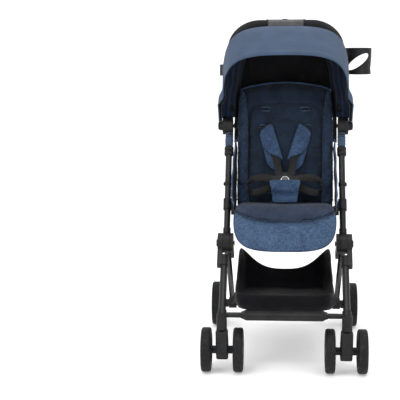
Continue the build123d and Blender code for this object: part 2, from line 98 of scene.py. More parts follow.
HUB = joint_place("canopy_fold")
KNUCKLE = joint_place("frame_fold")
RECLINE = joint_place("back_recline")
TUBE_X = 0.180
UP_TUBE = (HUB - KNUCKLE).normalized()
BACK_ANGLE = radians(70)
BACK_UP = Vector((0, cos(BACK_ANGLE), sin(BACK_ANGLE)))
BACK_OUT = Vector((0, -sin(BACK_ANGLE), cos(BACK_ANGLE)))


# ---- small helpers ---------------------------------------------------------
def mix(low, high, share):
    return low + (high - low) * share


def ease(value):
    value = min(max(value, 0.0), 1.0)
    return value * value * (3 - 2 * value)


def through(points, count, closed=False):
    """A smooth line of count points through the given ones."""
    given = [Vector(p) for p in points]
    if closed:
        ends = [given[-1], *given, given[0], given[1]]
        spans = len(given)
    else:
        ends = [2 * given[0] - given[1], *given, 2 * given[-1] - given[-2]]
        spans = len(given) - 1
    line = []
    for number in range(count):
        place = number / (count if closed else count - 1) * spans
        start = min(int(place), spans - 1)
        t = place - start
        a, b, c, d = ends[start:start + 4]
        line.append(0.5 * (2 * b + (c - a) * t + (2 * a - 5 * b + 4 * c - d) * t * t
                           + (3 * b - a - 3 * c + d) * t ** 3))
    return line


def mirrored(points):
    """Points in u > 0, listed upwards, and then their mirror images, listed downwards."""
    return [*points, *((-p[0], p[1]) for p in reversed(points) if abs(p[0]) > 1e-6)]


def flipped(points, side):
    return [(side * p[0], *p[1:]) for p in points]


def rounded_flat(width, thick):
    """A strap's section."""
    w, t = width / 2, thick / 2
    return [(-w, 0), (-w + t, -t), (w - t, -t), (w, 0), (w - t, t), (-w + t, t)]


def circle(radius, sides=10):
    return [(radius * cos(2 * pi * k / sides), radius * sin(2 * pi * k / sides)) for k in range(sides)]


# ---- meshes ----------------------------------------------------------------
def make(name, points, faces, *finishes, outward=True):
    mesh = bpy.data.meshes.new(name)
    mesh.from_pydata([tuple(p) for p in points], [], faces)
    if outward:
        edit = bmesh.new()
        edit.from_mesh(mesh)
        bmesh.ops.recalc_face_normals(edit, faces=edit.faces)
        edit.to_mesh(mesh)
        edit.free()
    for finish in finishes:
        mesh.materials.append(finish)
    mesh.shade_smooth()
    made = bpy.data.objects.new(name, mesh)
    scene.collection.objects.link(made)
    return made


def settle(piece):
    """Applies a piece's modifiers."""
    graph = bpy.context.evaluated_depsgraph_get()
    mesh = bpy.data.meshes.new_from_object(piece.evaluated_get(graph))
    piece.modifiers.clear()
    piece.data = mesh
    mesh.shade_smooth()
    return piece


def modified(piece, kind, **settings):
    modifier = piece.modifiers.new(kind.lower(), kind)
    for key, value in settings.items():
        setattr(modifier, key, value)
    return piece


def places(piece):
    flat = np.empty(len(piece.data.vertices) * 3, np.float32)
    piece.data.vertices.foreach_get("co", flat)
    return flat.reshape(-1, 3).astype(float)


def place_at(piece, points):
    piece.data.vertices.foreach_set("co", np.asarray(points, np.float32).ravel())
    piece.data.update()


def nearest(points):
    tree = KDTree(len(points))
    for number, p in enumerate(points):
        tree.insert(Vector((*p, 0)) if len(p) == 2 else p, number)
    tree.balance()
    return tree


def sheet_grid(name, rows, columns, place, *finishes, thick=0.0014):
    """A sheet of cloth, place(s, t) for s and t from 0 to 1, with its lining on the inner side."""
    points = [place(r / rows, c / columns) for r in range(rows + 1) for c in range(columns + 1)]
    wide = columns + 1
    faces = [(r * wide + c, r * wide + c + 1, (r + 1) * wide + c + 1, (r + 1) * wide + c)
             for r in range(rows) for c in range(columns)]
    made = make(name, points, faces, *finishes, outward=False)
    offset = 1 if len(finishes) > 1 else 0
    modified(made, "SOLIDIFY", thickness=thick, offset=-1, material_offset=offset, use_rim=True)
    return made


def sweep(name, path, section, finish, across=None, closed=False):
    """A section of (a, b) points carried along a path. across is the direction of the section's a."""
    count, wide, points, side = len(path), len(section), [], None
    for number, centre in enumerate(path):
        before = path[number - 1] if number or closed else centre
        after = path[(number + 1) % count] if number + 1 < count or closed else centre
        ahead = (after - before).normalized()
        if across is not None:
            side = across[number] if isinstance(across, list) else across
        elif side is None:
            side = ahead.orthogonal()
        side = (side - ahead * side.dot(ahead)).normalized()
        up = ahead.cross(side)
        points += [centre + side * a + up * b for a, b in section]
    faces = []
    for ring in range(count if closed else count - 1):
        here, there = ring * wide, (ring + 1) % count * wide
        faces += [(here + k, here + (k + 1) % wide, there + (k + 1) % wide, there + k) for k in range(wide)]
    if not closed:
        faces += [tuple(range(wide)), tuple(range((count - 1) * wide, count * wide))]
    return make(name, points, faces, finish)


def lathe(name, start, direction, profile, finish, sides=56, loop=False):
    """A turned piece: profile gives (distance along the axis, radius)."""
    ahead = Vector(direction).normalized()
    side = ahead.orthogonal().normalized()
    up = ahead.cross(side)
    turns = [2 * pi * k / sides for k in range(sides)]
    points = [start + ahead * d + (side * cos(a) + up * sin(a)) * r for d, r in profile for a in turns]
    faces, rings = [], len(profile)
    for ring in range(rings if loop else rings - 1):
        here, there = ring * sides, (ring + 1) % rings * sides
        faces += [(here + k, here + (k + 1) % sides, there + (k + 1) % sides, there + k)
                  for k in range(sides)]
    if not loop:
        faces += [tuple(range(sides)), tuple(range((rings - 1) * sides, rings * sides))]
    return make(name, points, faces, finish)


def pad(name, outline, place, front, back, finish, step=0.008, edge=0.012):
    """A cushion's closed form over an outline of (u, v), with its sides rounded in at the edge.
    front and back are thicknesses, or functions of (u, v)."""
    border = [Vector(p) for p in outline]
    fine = through(border, 6 * len(border), closed=True)
    tree = nearest([tuple(p) for p in fine])
    low = (min(p.x for p in border), min(p.y for p in border))
    high = (max(p.x for p in border), max(p.y for p in border))
    inner = []
    for i in range(1, int((high[0] - low[0]) / step) + 1):
        for k in range(1, int((high[1] - low[1]) / step) + 1):
            spot = Vector((low[0] + i * step, low[1] + k * step))
            if tree.find((spot.x, spot.y, 0))[2] > 0.45 * step:
                inner.append(spot)
    count = len(border)
    spots, _, faces, *_ = delaunay_2d_cdt(border + inner, [], [list(range(count))], 1, 1e-6)
    points, front_of, back_of = [], [], []
    for number, spot in enumerate(spots):
        depth = min(tree.find((spot.x, spot.y, 0))[2] / edge, 1.0)
        crown = (1 - (1 - depth) ** 2) ** 0.5
        high_w = crown * (front(*spot) if callable(front) else front)
        low_w = crown * (back(*spot) if callable(back) else back)
        front_of.append(len(points))
        points.append(place(spot.x, spot.y, high_w))
        if number < count:
            back_of.append(front_of[-1])
        else:
            back_of.append(len(points))
            points.append(place(spot.x, spot.y, -low_w))
    both = [tuple(front_of[k] for k in f) for f in faces]
    both += [tuple(back_of[k] for k in reversed(f)) for f in faces]
    return make(name, points, both, finish)


def puff(piece, held, pressure=4.0, cap=0.008, voxel=0.005, slack=0.02, smooth=4):
    """Fills a closed pad for a moment, so that its cover swells and wrinkles between its held seams."""
    modified(piece, "REMESH", mode="VOXEL", voxel_size=voxel)
    modified(piece, "SMOOTH", factor=0.5, iterations=smooth)
    settle(piece)
    start = places(piece)
    tree = nearest(held)
    seam = piece.vertex_groups.new(name="seam")
    seam.add([k for k, p in enumerate(start) if tree.find(p)[2] < 1.5 * voxel], 1.0, "REPLACE")
    air = piece.modifiers.new("air", "CLOTH")
    settings = air.settings
    settings.quality, settings.mass = 5, 0.3
    settings.tension_stiffness = settings.compression_stiffness = 15
    settings.shear_stiffness, settings.bending_stiffness = 5, 0.5
    settings.use_pressure, settings.uniform_pressure_force = True, pressure
    settings.shrink_min, settings.vertex_group_mass = -slack, "seam"
    settings.effector_weights.gravity = 0
    air.point_cache.frame_start, air.point_cache.frame_end = 1, 20
    for number in range(1, 21):
        scene.frame_set(number)
    settle(piece)
    scene.frame_set(1)
    piece.vertex_groups.clear()
    shift = places(piece) - start
    length = np.linalg.norm(shift, axis=1, keepdims=True)
    place_at(piece, start + shift * np.minimum(1, cap / np.maximum(length, 1e-9)))
    modified(piece, "SUBSURF", levels=1, render_levels=1)
    return settle(piece)


def surface(piece):
    graph = bpy.context.evaluated_depsgraph_get()
    return BVHTree.FromObject(piece, graph)


def laid_on(piece, line, out, lift=0.0):
    """The line's points, moved along out until they lie on the piece."""
    tree, laid = surface(piece), []
    for p in line:
        hit = tree.ray_cast(p + out * 0.1, -out)[0]
        laid.append((hit if hit is not None else p) + out * lift)
    return laid


def press(piece, line, out, depth, width):
    """Sinks a sewn channel into the side of a piece that faces out."""
    tree, points = nearest(line), places(piece)
    for number, p in enumerate(points):
        far = tree.find(p)[2]
        if far < 3 * width:
            points[number] = p - np.array(out) * depth * np.exp(-(far / width) ** 2)
    place_at(piece, points)


def stitches(name, path, finish, length=0.0042, gap=0.0026, radius=0.00055):
    """A row of short threads along a line."""
    points, faces, along, start = [], [], 0.0, None
    for before, after in zip(path, path[1:]):
        along += (after - before).length
        if start is None and along >= gap:
            start, along = after, 0.0
        elif start is not None and along >= length:
            ahead = (after - start).normalized()
            side = ahead.orthogonal().normalized()
            up = ahead.cross(side)
            base, middle = len(points), (start + after) / 2
            points += [start, after, *(middle + d * radius for d in (side, up, -side, -up))]
            for k in range(4):
                a, b = base + 2 + k, base + 2 + (k + 1) % 4
                faces += [(base, a, b), (base + 1, b, a)]
            start, along = None, 0.0
    return make(name, points, faces, finish)


def wrinkle(piece, amount, scale, direction, seed=0.0, where=None):
    """Small folds: the points shift along a direction by smooth noise."""
    points = places(piece)
    for number, p in enumerate(points):
        share = where(p) if where else 1.0
        if share > 0:
            value = noise.noise(Vector((p[0] * scale[0] + seed, p[1] * scale[1], p[2] * scale[2])))
            points[number] = p + np.array(direction) * amount * share * value
    place_at(piece, points)


# ---- finishes --------------------------------------------------------------
def rgb(code):
    """A colour from its hex code, as the linear values that a shader takes."""
    parts = [int(code[k:k + 2], 16) / 255 for k in (0, 2, 4)]
    return (*(((v + 0.055) / 1.055) ** 2.4 if v > 0.04045 else v / 12.92 for v in parts), 1.0)


class Finish:
    """A material and its node graph."""

    def __init__(self, name, roughness, **sockets):
        self.material = bpy.data.materials.new(name)
        self.material.use_nodes = True
        self.tree = self.material.node_tree
        self.shader = self.tree.nodes["Principled BSDF"]
        self.shader.inputs["Roughness"].default_value = roughness
        for key, value in sockets.items():
            self.shader.inputs[key.replace("_", " ")].default_value = value
        self.place = self.add("ShaderNodeTexCoord").outputs["Object"]

    def put(self, value, socket):
        if isinstance(value, bpy.types.NodeSocket):
            self.tree.links.new(value, socket)
        else:
            socket.default_value = value

    def add(self, kind, inputs=(), **settings):
        node = self.tree.nodes.new(kind)
        for key, value in settings.items():
            setattr(node, key, value)
        for key, value in dict(inputs).items():
            self.put(value, node.inputs[key])
        return node

    def math(self, operation, *values):
        return self.add("ShaderNodeMath", enumerate(values), operation=operation).outputs[0]

    def along(self, direction, period):
        """A wave along a direction of the piece, from -1 to 1."""
        dot = self.add("ShaderNodeVectorMath", {0: self.place, 1: direction}, operation="DOT_PRODUCT")
        return self.math("SINE", self.math("MULTIPLY", dot.outputs["Value"], 2 * pi / period))

    def noise(self, scale, detail=3.0, stretch=(1, 1, 1)):
        place = self.add("ShaderNodeMapping", {"Vector": self.place, "Scale": stretch}).outputs[0]
        inputs = {"Vector": place, "Scale": scale, "Detail": detail}
        return self.add("ShaderNodeTexNoise", inputs).outputs[0]

    def between(self, value, low, high, start=0.0, end=1.0):
        inputs = {"Value": value, "From Min": low, "From Max": high, "To Min": start, "To Max": end}
        return self.add("ShaderNodeMapRange", inputs, interpolation_type="SMOOTHSTEP").outputs[0]

    def blend(self, share, low, high):
        inputs = {0: share, 6: low, 7: high}
        return self.add("ShaderNodeMix", inputs, data_type="RGBA").outputs[2]

    def colour(self, socket):
        self.put(socket, self.shader.inputs["Base Color"])

    def rough(self, socket):
        self.put(socket, self.shader.inputs["Roughness"])

    def relief(self, height, depth, normal=None):
        inputs = {"Height": height, "Distance": depth, "Strength": 1.0}
        if normal is not None:
            inputs["Normal"] = normal
        self.put(self.add("ShaderNodeBump", inputs).outputs[0], self.shader.inputs["Normal"])


def cloth(name, dark, light, thread=0.0016, melange=0.5, depth=0.0004, sheen=0.09, creases=0.0):
    """Woven cloth: crossing threads, slubs of two yarn colours, and a soft sheen."""
    made = Finish(name, 0.85, Sheen_Weight=sheen, Sheen_Roughness=0.45, Specular_IOR_Level=0.12)
    warp, weft = made.along((1, 0.45, 0.1), thread), made.along((0, 0.75, 1), thread)
    weave = made.math("MULTIPLY", warp, weft)
    slub_across = made.noise(260, 3, (0.35, 1, 2.2))
    slub_along = made.noise(260, 3, (2.2, 1, 0.35))
    yarn = made.math("ADD", slub_across, slub_along)
    patches = made.noise(24, 2)
    share = made.math("ADD", made.between(yarn, 0.82, 1.2, 0, melange),
                      made.between(patches, 0.3, 0.7, 0, 1 - melange))
    thread_share = made.math("MULTIPLY_ADD", weave, 0.06, share)
    made.colour(made.blend(thread_share, rgb(dark), rgb(light)))
    height = made.math("MULTIPLY_ADD", weave, 0.5, made.math("MULTIPLY", yarn, 0.8))
    if creases:
        folds = made.noise(16, 2, (1, 1, 1.6))
        height = made.math("MULTIPLY_ADD", folds, creases, height)
    made.rough(made.between(patches, 0.2, 0.8, 0.78, 0.92))
    made.relief(height, depth)
    return made.material


def moulded(name, base, edge, roughness=0.48, grain=0.00006, coat=0.0):
    """Moulded plastic: a fine grain, slight mottling, and a patchy painted highlight that makes the edges a
    little paler.
    """
    made = Finish(name, roughness, Specular_IOR_Level=0.26, Coat_Weight=coat, Coat_Roughness=0.3)
    soft = made.add("ShaderNodeBevel", {"Radius": 0.0012}, samples=4).outputs[0]
    flat = made.add("ShaderNodeNewGeometry").outputs["Normal"]
    turn = made.add("ShaderNodeVectorMath", {0: soft, 1: flat}, operation="DOT_PRODUCT").outputs["Value"]
    # Painted highlight: where the bevel normal turns away from the face, at rounded edges, the colour is
    # blended towards the paler edge colour in noisy patches.
    painted_edge_highlight = made.math("MULTIPLY", made.between(turn, 0.995, 0.88), made.between(made.noise(90, 4), 0.35, 0.75))
    tone = made.blend(made.between(made.noise(30, 4), 0.3, 0.7, 0, 0.35), rgb(base), rgb(edge))
    made.colour(made.blend(made.math("MULTIPLY", painted_edge_highlight, 0.7), tone, rgb(edge)))
    made.rough(made.between(made.noise(60, 5), 0.25, 0.75, roughness - 0.07, roughness + 0.1))
    made.relief(made.noise(1500, 2), grain, soft)
    return made.material


def painted(name, base, edge, roughness=0.36):
    """Powder-coated tube: a fine orange peel and small scuffs."""
    made = Finish(name, roughness, Specular_IOR_Level=0.3, Coat_Weight=0.06, Coat_Roughness=0.35)
    scuffs = made.between(made.noise(220, 6, (1, 1, 0.25)), 0.66, 0.74)
    tone = made.blend(made.between(made.noise(14, 3), 0.3, 0.7, 0, 0.4), rgb(base), rgb(edge))
    made.colour(made.blend(made.math("MULTIPLY", scuffs, 0.25), tone, rgb("6A6C70")))
    made.rough(made.between(made.noise(45, 4), 0.3, 0.7, roughness - 0.05, roughness + 0.12))
    made.relief(made.noise(900, 2), 0.00004)
    return made.material


def rubber(name, base, dust):
    """Matt rubber with fine rings of dust."""
    made = Finish(name, 0.62, Specular_IOR_Level=0.24)
    dusty = made.between(made.noise(70, 6), 0.5, 0.85, 0, 0.55)
    made.colour(made.blend(dusty, rgb(base), rgb(dust)))
    made.rough(made.between(made.noise(120, 4), 0.2, 0.8, 0.5, 0.78))
    made.relief(made.noise(1300, 3), 0.0001)
    return made.material


def foam(name, base, light):
    made = Finish(name, 0.8, Specular_IOR_Level=0.2, Sheen_Weight=0.03)
    pores = made.noise(1700, 2)
    made.colour(made.blend(made.between(pores, 0.35, 0.7), rgb(base), rgb(light)))
    made.relief(pores, 0.00035)
    return made.material


def ribbed(name, dark, light):
    """Woven harness webbing: close ribs across it and a satin face."""
    made = Finish(name, 0.55, Sheen_Weight=0.04, Specular_IOR_Level=0.3)
    ribs = made.math("MULTIPLY", made.along((0.25, 0.4, 1), 0.0017), made.along((1, 0, 0.2), 0.0024))
    made.colour(made.blend(made.between(ribs, -0.8, 0.9), rgb(dark), rgb(light)))
    made.rough(made.between(made.noise(150, 3), 0.3, 0.7, 0.45, 0.65))
    made.relief(ribs, 0.0003)
    return made.material


def metal(name, base, light, roughness):
    made = Finish(name, roughness, Metallic=1.0)
    made.colour(made.blend(made.between(made.noise(300, 5, (1, 1, 6)), 0.3, 0.7), rgb(base), rgb(light)))
    made.rough(made.between(made.noise(160, 4), 0.3, 0.7, roughness - 0.08, roughness + 0.12))
    made.relief(made.noise(700, 3), 0.00003)
    return made.material


CANOPY = cloth("canopy_cloth", "35455A", "404F66", melange=0.35, creases=0.9)
LINING = cloth("canopy_lining", "090D15", "121A27", melange=0.3, sheen=0.04, creases=0.9)
SIDE_LINING = cloth("side_lining", "0B121E", "16233A", melange=0.3, sheen=0.06, creases=1.2)
CHARCOAL = cloth("charcoal_lining", "101012", "1C1C1F", melange=0.4, sheen=0.05, creases=0.9)
HEATHER = cloth("heather_cloth", "2C3C54", "495F7B", thread=0.0021, melange=0.7, depth=0.0005, sheen=0.12)
HARNESS = cloth("harness_cloth", "24344B", "3D5473", thread=0.0019, melange=0.7, depth=0.0005, sheen=0.12)
NAVY = cloth("navy_cloth", "131B27", "212D3E", melange=0.4, creases=0.6)
SLATE = cloth("seat_cloth", "1B2534", "2B374B", melange=0.4, creases=0.6)
BOLSTER = cloth("bolster_cloth", "162130", "2C3C54", thread=0.0019, melange=0.55)
PIPING = cloth("piping_cloth", "2C3C55", "3F5577", thread=0.0012, melange=0.4)
BLACK = cloth("basket_cloth", "09090B", "18181D", melange=0.4, sheen=0.08, creases=1.8)
WEBBING = ribbed("webbing", "060607", "1D1C1C")
THREAD = cloth("thread", "3C5579", "6F8DB4", thread=0.0006, depth=0.0001)
DARK_THREAD = cloth("dark_thread", "04070C", "101824", thread=0.0006, depth=0.0001)
PLASTIC = moulded("black_plastic", "09090A", "252527")
GREY = moulded("grey_plastic", "4B4A4B", "6D6C6E", roughness=0.42)
TUBE = painted("black_paint", "0B0B0D", "1B1C1F")
STEEL = metal("dark_steel", "1A1B1D", "38393C", 0.42)
CHROME = metal("bright_metal", "D8D8DA", "B8B9BC", 0.22)
GRIP = foam("grip_foam", "101012", "27272A")
TYRE = rubber("tyre_rubber", "0C0C0D", "2C2C2D")
LABEL = cloth("label_cloth", "3A3B3E", "55565A", thread=0.0009)


# ---- CAD parts that keep their shape ---------------------------------------
def dress_frame():
    finishes = {
        "black_tube": TUBE, "dark_steel": STEEL, "black_plastic": PLASTIC, "grey_plastic": GREY,
        "grip_foam": GRIP, "navy_cloth": NAVY, "heather_cloth": HEATHER, "blue_cloth": CANOPY,
        "black_cloth": BLACK, "webbing": WEBBING, "tyre": TYRE,
    }
    slots = {part["node"]: part["material_slot"] for part in frame["record"]["subparts"]}
    for node, thing in frame["nodes"].items():
        thing.data.materials.clear()
        thing.data.materials.append(finishes[slots[node]])
    for node in ("knuckle_cores", "hub_shells", "front_leg_fittings", "rear_leg_fittings",
                 "caster_left_fork", "caster_right_fork", "handle_sockets"):
        modified(frame["nodes"][node], "BEVEL", width=0.0022, segments=3, limit_method="ANGLE",
                 angle_limit=radians(40), harden_normals=True)


# ---- canopy ----------------------------------------------------------------
REAR_ANGLE, MID_ANGLE, BRIM_ANGLE = 64.5, 96.0, 128.2
HUB_START, HUB_CLEAR, SIDE_START = 0.018, 0.2140, 0.128


def canopy_point(angle, t, inset=0.0):
    """A point of the canopy's outer face: t runs from the left hub over the crown to the right one."""
    front = ease((angle - MID_ANGLE) / (BRIM_ANGLE - MID_ANGLE))
    rear = ease((MID_ANGLE - angle) / (MID_ANGLE - REAR_ANGLE))
    half = 0.2000 - 0.0034 * front - 0.0008 * rear
    crown = 0.3205 - 0.0200 * front + 0.0040 * rear
    spring, power = mix(0.130, 0.100, front), mix(3.3, 2.95, front)
    out = abs(2 * t - 1)
    side_share = 0.60
    if out > side_share:
        share = (out - side_share) / (1 - side_share)
        r = mix(spring, HUB_START, share)
        x = half
    else:
        turn = (1 - out / side_share) * pi / 2
        r = spring + (crown - spring) * sin(turn) ** (2 / power)
        x = half * max(cos(turn), 0.0) ** (2 / power)
    flare = ease((SIDE_START - r) / (SIDE_START - 0.09))
    x = mix(x, HUB_CLEAR, flare * ease(out / side_share * 1.5))
    between_bows = (MID_ANGLE, BRIM_ANGLE - 2) if angle > MID_ANGLE else (66.0, MID_ANGLE)
    across_bows = (angle - between_bows[0]) / (between_bows[1] - between_bows[0])
    sag = sin(pi * min(max(across_bows, 0), 1)) ** 2
    r -= 0.0045 * sag * ease((r - 0.16) / 0.12)
    pleat = sin(radians(angle) * 34 + 0.6) * ease((r - 0.05) / 0.07) * ease((0.27 - r) / 0.08)
    x += 0.0016 * pleat * ease((out - 0.35) / 0.3)
    over_bow = 0.0055 * front + 0.0034 * ease(1 - abs(angle - MID_ANGLE) / 9)
    over_bow *= sin(pi * min(out / side_share, 1.0)) ** 2
    r, x = r + over_bow, x + over_bow
    channel = ease(1 - abs(angle - 126.4) / 1.7)
    r += 0.0016 * channel
    r, x = r - inset, x - inset
    sign = 1 if t < 0.5 else -1
    turn = radians(angle)
    return Vector((sign * x, HUB.y + r * cos(turn), HUB.z + r * sin(turn)))


def canopy_sheet(name, low, high, rows, nodes):
    made = sheet_grid(name, rows, 96, lambda s, t: canopy_point(mix(low, high, s), t), CANOPY, LINING)
    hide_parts(*nodes)
    canopy_point(low + 1.5, 0.5)
    canopy_point(high - 2.0, 0.5)
    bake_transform(made)
    return made


def canopy():
    rear = canopy_sheet("canopy_rear_cloth", REAR_ANGLE, MID_ANGLE, 26,
                        ["canopy_rear_panel", "canopy_mid_panel"])
    front = canopy_sheet("canopy_front_cloth", MID_ANGLE, BRIM_ANGLE, 34,
                         ["canopy_front_panel"])
    steps = [k / 160 for k in range(161)]
    hem = sweep("canopy_brim_hem", [canopy_point(BRIM_ANGLE, t, 0.0008) for t in steps],
                circle(0.0021), CANOPY)
    fine = [k / 900 for k in range(60, 841)]
    seams = [stitches(f"canopy_{label}_stitches", [canopy_point(angle, t, -0.0002) for t in fine], THREAD)
             for label, angle in (("brim", 124.9), ("hem", 127.6))]
    for piece in (hem, *seams):
        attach(piece, "canopy_front")
    for angle in (94.6, 97.4):
        row = stitches(f"canopy_seam_stitches_{int(angle)}", [canopy_point(angle, t, -0.0002) for t in fine],
                       THREAD)
        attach(row, "canopy_mid")
    rear_hem = sweep("canopy_rear_hem", [canopy_point(REAR_ANGLE, t, 0.0008) for t in steps],
                     circle(0.0019), CANOPY)
    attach(rear_hem, "seat_frame")


def canopy_wall():
    """The pleated wall from the rear bow down to the top of the seat back."""
    top_r, top_angle = 0.316, radians(67.0)
    top = Vector((0, HUB.y + top_r * cos(top_angle), HUB.z + top_r * sin(top_angle)))
    foot = RECLINE + BACK_UP * 0.405 + BACK_OUT * 0.004

    def wall(s, t):
        across = 2 * t - 1
        half = mix(0.148, 0.186, ease(s)) * (1 - 0.10 * ease((s - 0.7) / 0.3) * across * across)
        x = half * across
        drop = 0.105 * ease((abs(across) - 0.55) / 0.45) * ease((s - 0.45) / 0.55)
        p = foot.lerp(top, s) + Vector((x, 0, -drop - 0.006 * across * across))
        pleats = sum(0.008 * np.exp(-((x - spot) / 0.008) ** 2) for spot in (-0.118, 0.058, 0.120))
        p.y += 0.016 * sin(pi * s) - pleats * sin(pi * min(s * 1.15, 1)) + 0.003 * sin(x * 55 + s * 3)
        return p

    made = sheet_grid("canopy_wall_cloth", 22, 90, wall, CHARCOAL, thick=0.0012)
    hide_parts("canopy_back_wall")
    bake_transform(made)


def canopy_sides():
    """Pleated cloth that closes each side of the canopy, from its side panel in to the seat back."""
    for name, side in SIDES:
        edge = through([(side * 0.1525, 0.196, 0.729), (side * 0.1510, 0.213, 0.785),
                        (side * 0.1460, 0.232, 0.838), (side * 0.1400, 0.238, 0.885),
                        (side * 0.1180, 0.238, 0.968)], 60)

        def inner(s, edge=edge):
            return edge[min(int(s * 59.99), 59)]

        def outer(s):
            return canopy_point(97.0, 0.5 - side * 0.5 * mix(0.955, 0.40, s), 0.0045)

        def place(s, t):
            p = inner(s).lerp(outer(s), t)
            pleat = sin(2 * pi * t * 3.4 + 1.4 * s + 0.5) * sin(pi * t) ** 0.5
            sag = 0.030 * sin(pi * t)
            p.y -= sag + 0.0034 * pleat
            p.x -= side * 0.0022 * pleat
            return p

        made = sheet_grid(f"canopy_side_{name}", 40, 44, place, SIDE_LINING, thick=0.0012)
        tuple(outer(0.6))
        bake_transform(made)


def canopy_label():
    """A folded cloth tab in the canopy's side seam."""
    middle = HUB + Vector((-0.1985, 0.006, 0.180))
    path = [middle + Vector((-0.013 * sin(pi * k / 10), 0.0016 * cos(pi * k / 10), 0)) for k in range(11)]
    tab = sweep("canopy_label", path, rounded_flat(0.036, 0.0009), LABEL, across=UP)
    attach(tab, "canopy_mid")


# ---- seat back -------------------------------------------------------------
def on_back(u, v, w):
    return RECLINE + ACROSS * u + BACK_UP * v + BACK_OUT * w


def back_outline():
    low, high = 0.016, 0.392
    right = [(0.128, low), (0.141, low + 0.02), (0.144, 0.20), (0.146, 0.33), (0.146, high - 0.012),
             (0.138, high + 0.006), (0.10, 0.4085), (0.05, 0.4165), (0.0, 0.419)]
    return through([(*p, 0) for p in mirrored(right)], 150, closed=True)


def seat_back():
    base_w = 0.021
    outline = [(p.x, p.y) for p in back_outline()]

    def place(u, v, w):
        return on_back(u, v, base_w + w)

    cushion = pad("back_cushion_cover", outline, place, lambda u, v: 0.0155 + 0.003 * (1 - (u / 0.15) ** 2),
                  0.0095, NAVY, edge=0.016)
    puff(cushion, [place(u, v, 0) for u, v in outline], cap=0.006)
    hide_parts("back_cushion")

    # Sewn channels: an arch under the headrest, and a smaller one behind the shoulder pads.
    head = [(0.117, 0.06), (0.118, 0.20), (0.117, 0.29), (0.108, 0.330), (0.06, 0.3425), (0.0, 0.3455)]
    inner = [(0.062, 0.09), (0.066, 0.20), (0.066, 0.258), (0.052, 0.278), (0.0, 0.290)]
    for label, half, depth, width in (("head", head, 0.0075, 0.0065), ("inner", inner, 0.0060, 0.0065)):
        line = through([(*p, 0) for p in mirrored(half)], 420)
        laid = laid_on(cushion, [on_back(p.x, p.y, 0.05) for p in line], BACK_OUT)
        press(cushion, laid, BACK_OUT, depth, width)
        shifted = [on_back(p.x * 0.97, p.y - 0.004, 0.05) for p in line]
        row = stitches(f"back_{label}_stitches", laid_on(cushion, shifted, BACK_OUT, 0.0004), DARK_THREAD)
        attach(row, "seat_back")

    # Harness slots in two rows, each in a bound frame.
    for row_number, v, near_u, far_u in ((1, 0.3235, 0.045, 0.083), (2, 0.264, 0.060, 0.084)):
        for side_name, side in SIDES:
            ends = [on_back(side * u, v + 0.003 * (u - near_u) / 0.04, 0.05) for u in (near_u, far_u)]
            middle = laid_on(cushion, [ends[0].lerp(ends[1], 0.5)], BACK_OUT)[0]
            slot_line = laid_on(cushion, [ends[0].lerp(ends[1], k / 30) for k in range(31)], BACK_OUT)
            press(cushion, slot_line, BACK_OUT, 0.004, 0.0035)
            loop = [middle + ACROSS * ((far_u - near_u) / 2 + 0.004) * cos(a)
                    * (abs(cos(a)) ** -0.6 if abs(cos(a)) > 0.3 else 2.0) * 0.62
                    + BACK_UP * 0.0065 * sin(a) for a in (2 * pi * k / 48 for k in range(48))]
            ring = sweep(f"harness_slot_{row_number}_{side_name}",
                         laid_on(cushion, loop, BACK_OUT, 0.0002), circle(0.0017, 8), HARNESS, closed=True)
            slit = sweep(f"harness_slit_{row_number}_{side_name}",
                         [p + BACK_OUT * 0.0028 for p in laid_on(cushion, slot_line[2:-2], BACK_OUT)],
                         rounded_flat(0.0042, 0.0008), LINING, across=BACK_UP)
            for piece in (ring, slit):
                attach(piece, "seat_back")
    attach(cushion, "seat_back")

    top = [p for p in back_outline() if p.y > 0.385]
    top.sort(key=lambda p: p.x)
    arch = [on_back(p.x, p.y + 0.0015, base_w + 0.004) for p in top]
    piping = sweep("back_top_piping", arch, circle(0.0030), PIPING)
    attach(piping, "seat_back")
    bolsters()
    rear_cover()


def bolsters():
    """Padded side rolls, gathered into slanting folds."""
    for name, side in SIDES:
        shape = [(0.116, 0.012), (0.119, 0.12), (0.119, 0.22), (0.122, 0.31), (0.131, 0.375),
                 (0.142, 0.392), (0.149, 0.385), (0.1535, 0.33), (0.1545, 0.20), (0.1545, 0.10),
                 (0.1535, 0.016), (0.135, 0.004)]
        outline = [(p.x, p.y) for p in through([(*p, 0) for p in flipped(shape, side)], 90, closed=True)]

        def place(u, v, w):
            return on_back(u, v, 0.036 + w)

        roll = pad(f"side_bolster_{name}", outline, place, 0.022, 0.010, BOLSTER, step=0.006, edge=0.018)
        puff(roll, [place(u, v, 0) for u, v in outline], cap=0.006, voxel=0.004, slack=0.05)

        def fold_share(p, side=side):
            v = (Vector(p) - RECLINE).dot(BACK_UP)
            return 0.35 + 0.65 * ease((v - 0.12) / 0.2)

        points = places(roll)
        for number, p in enumerate(points):
            q = Vector(p) - RECLINE
            v, u = q.dot(BACK_UP), abs(q.x)
            phase = (v - (u - 0.12)) / 0.0125
            wave = sin(2 * pi * phase + 1.3 * noise.noise(Vector((v * 30, u * 40, side))))
            facing = ease((q.dot(BACK_OUT) - 0.036) / 0.01)
            points[number] = p + np.array(BACK_OUT) * 0.0011 * wave * facing * fold_share(p)
        place_at(roll, points)
        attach(roll, "seat_back")
        edge_line = [on_back(side * u, v, 0.0) for u, v in
                     ((p.x, p.y) for p in through([(x, y, 0) for x, y in
                      ((0.1225, 0.06), (0.1235, 0.2), (0.1265, 0.31), (0.134, 0.372))], 300))]
        row = stitches(f"bolster_stitches_{name}", laid_on(roll, edge_line, BACK_OUT, 0.0004), DARK_THREAD)
        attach(row, "seat_back")


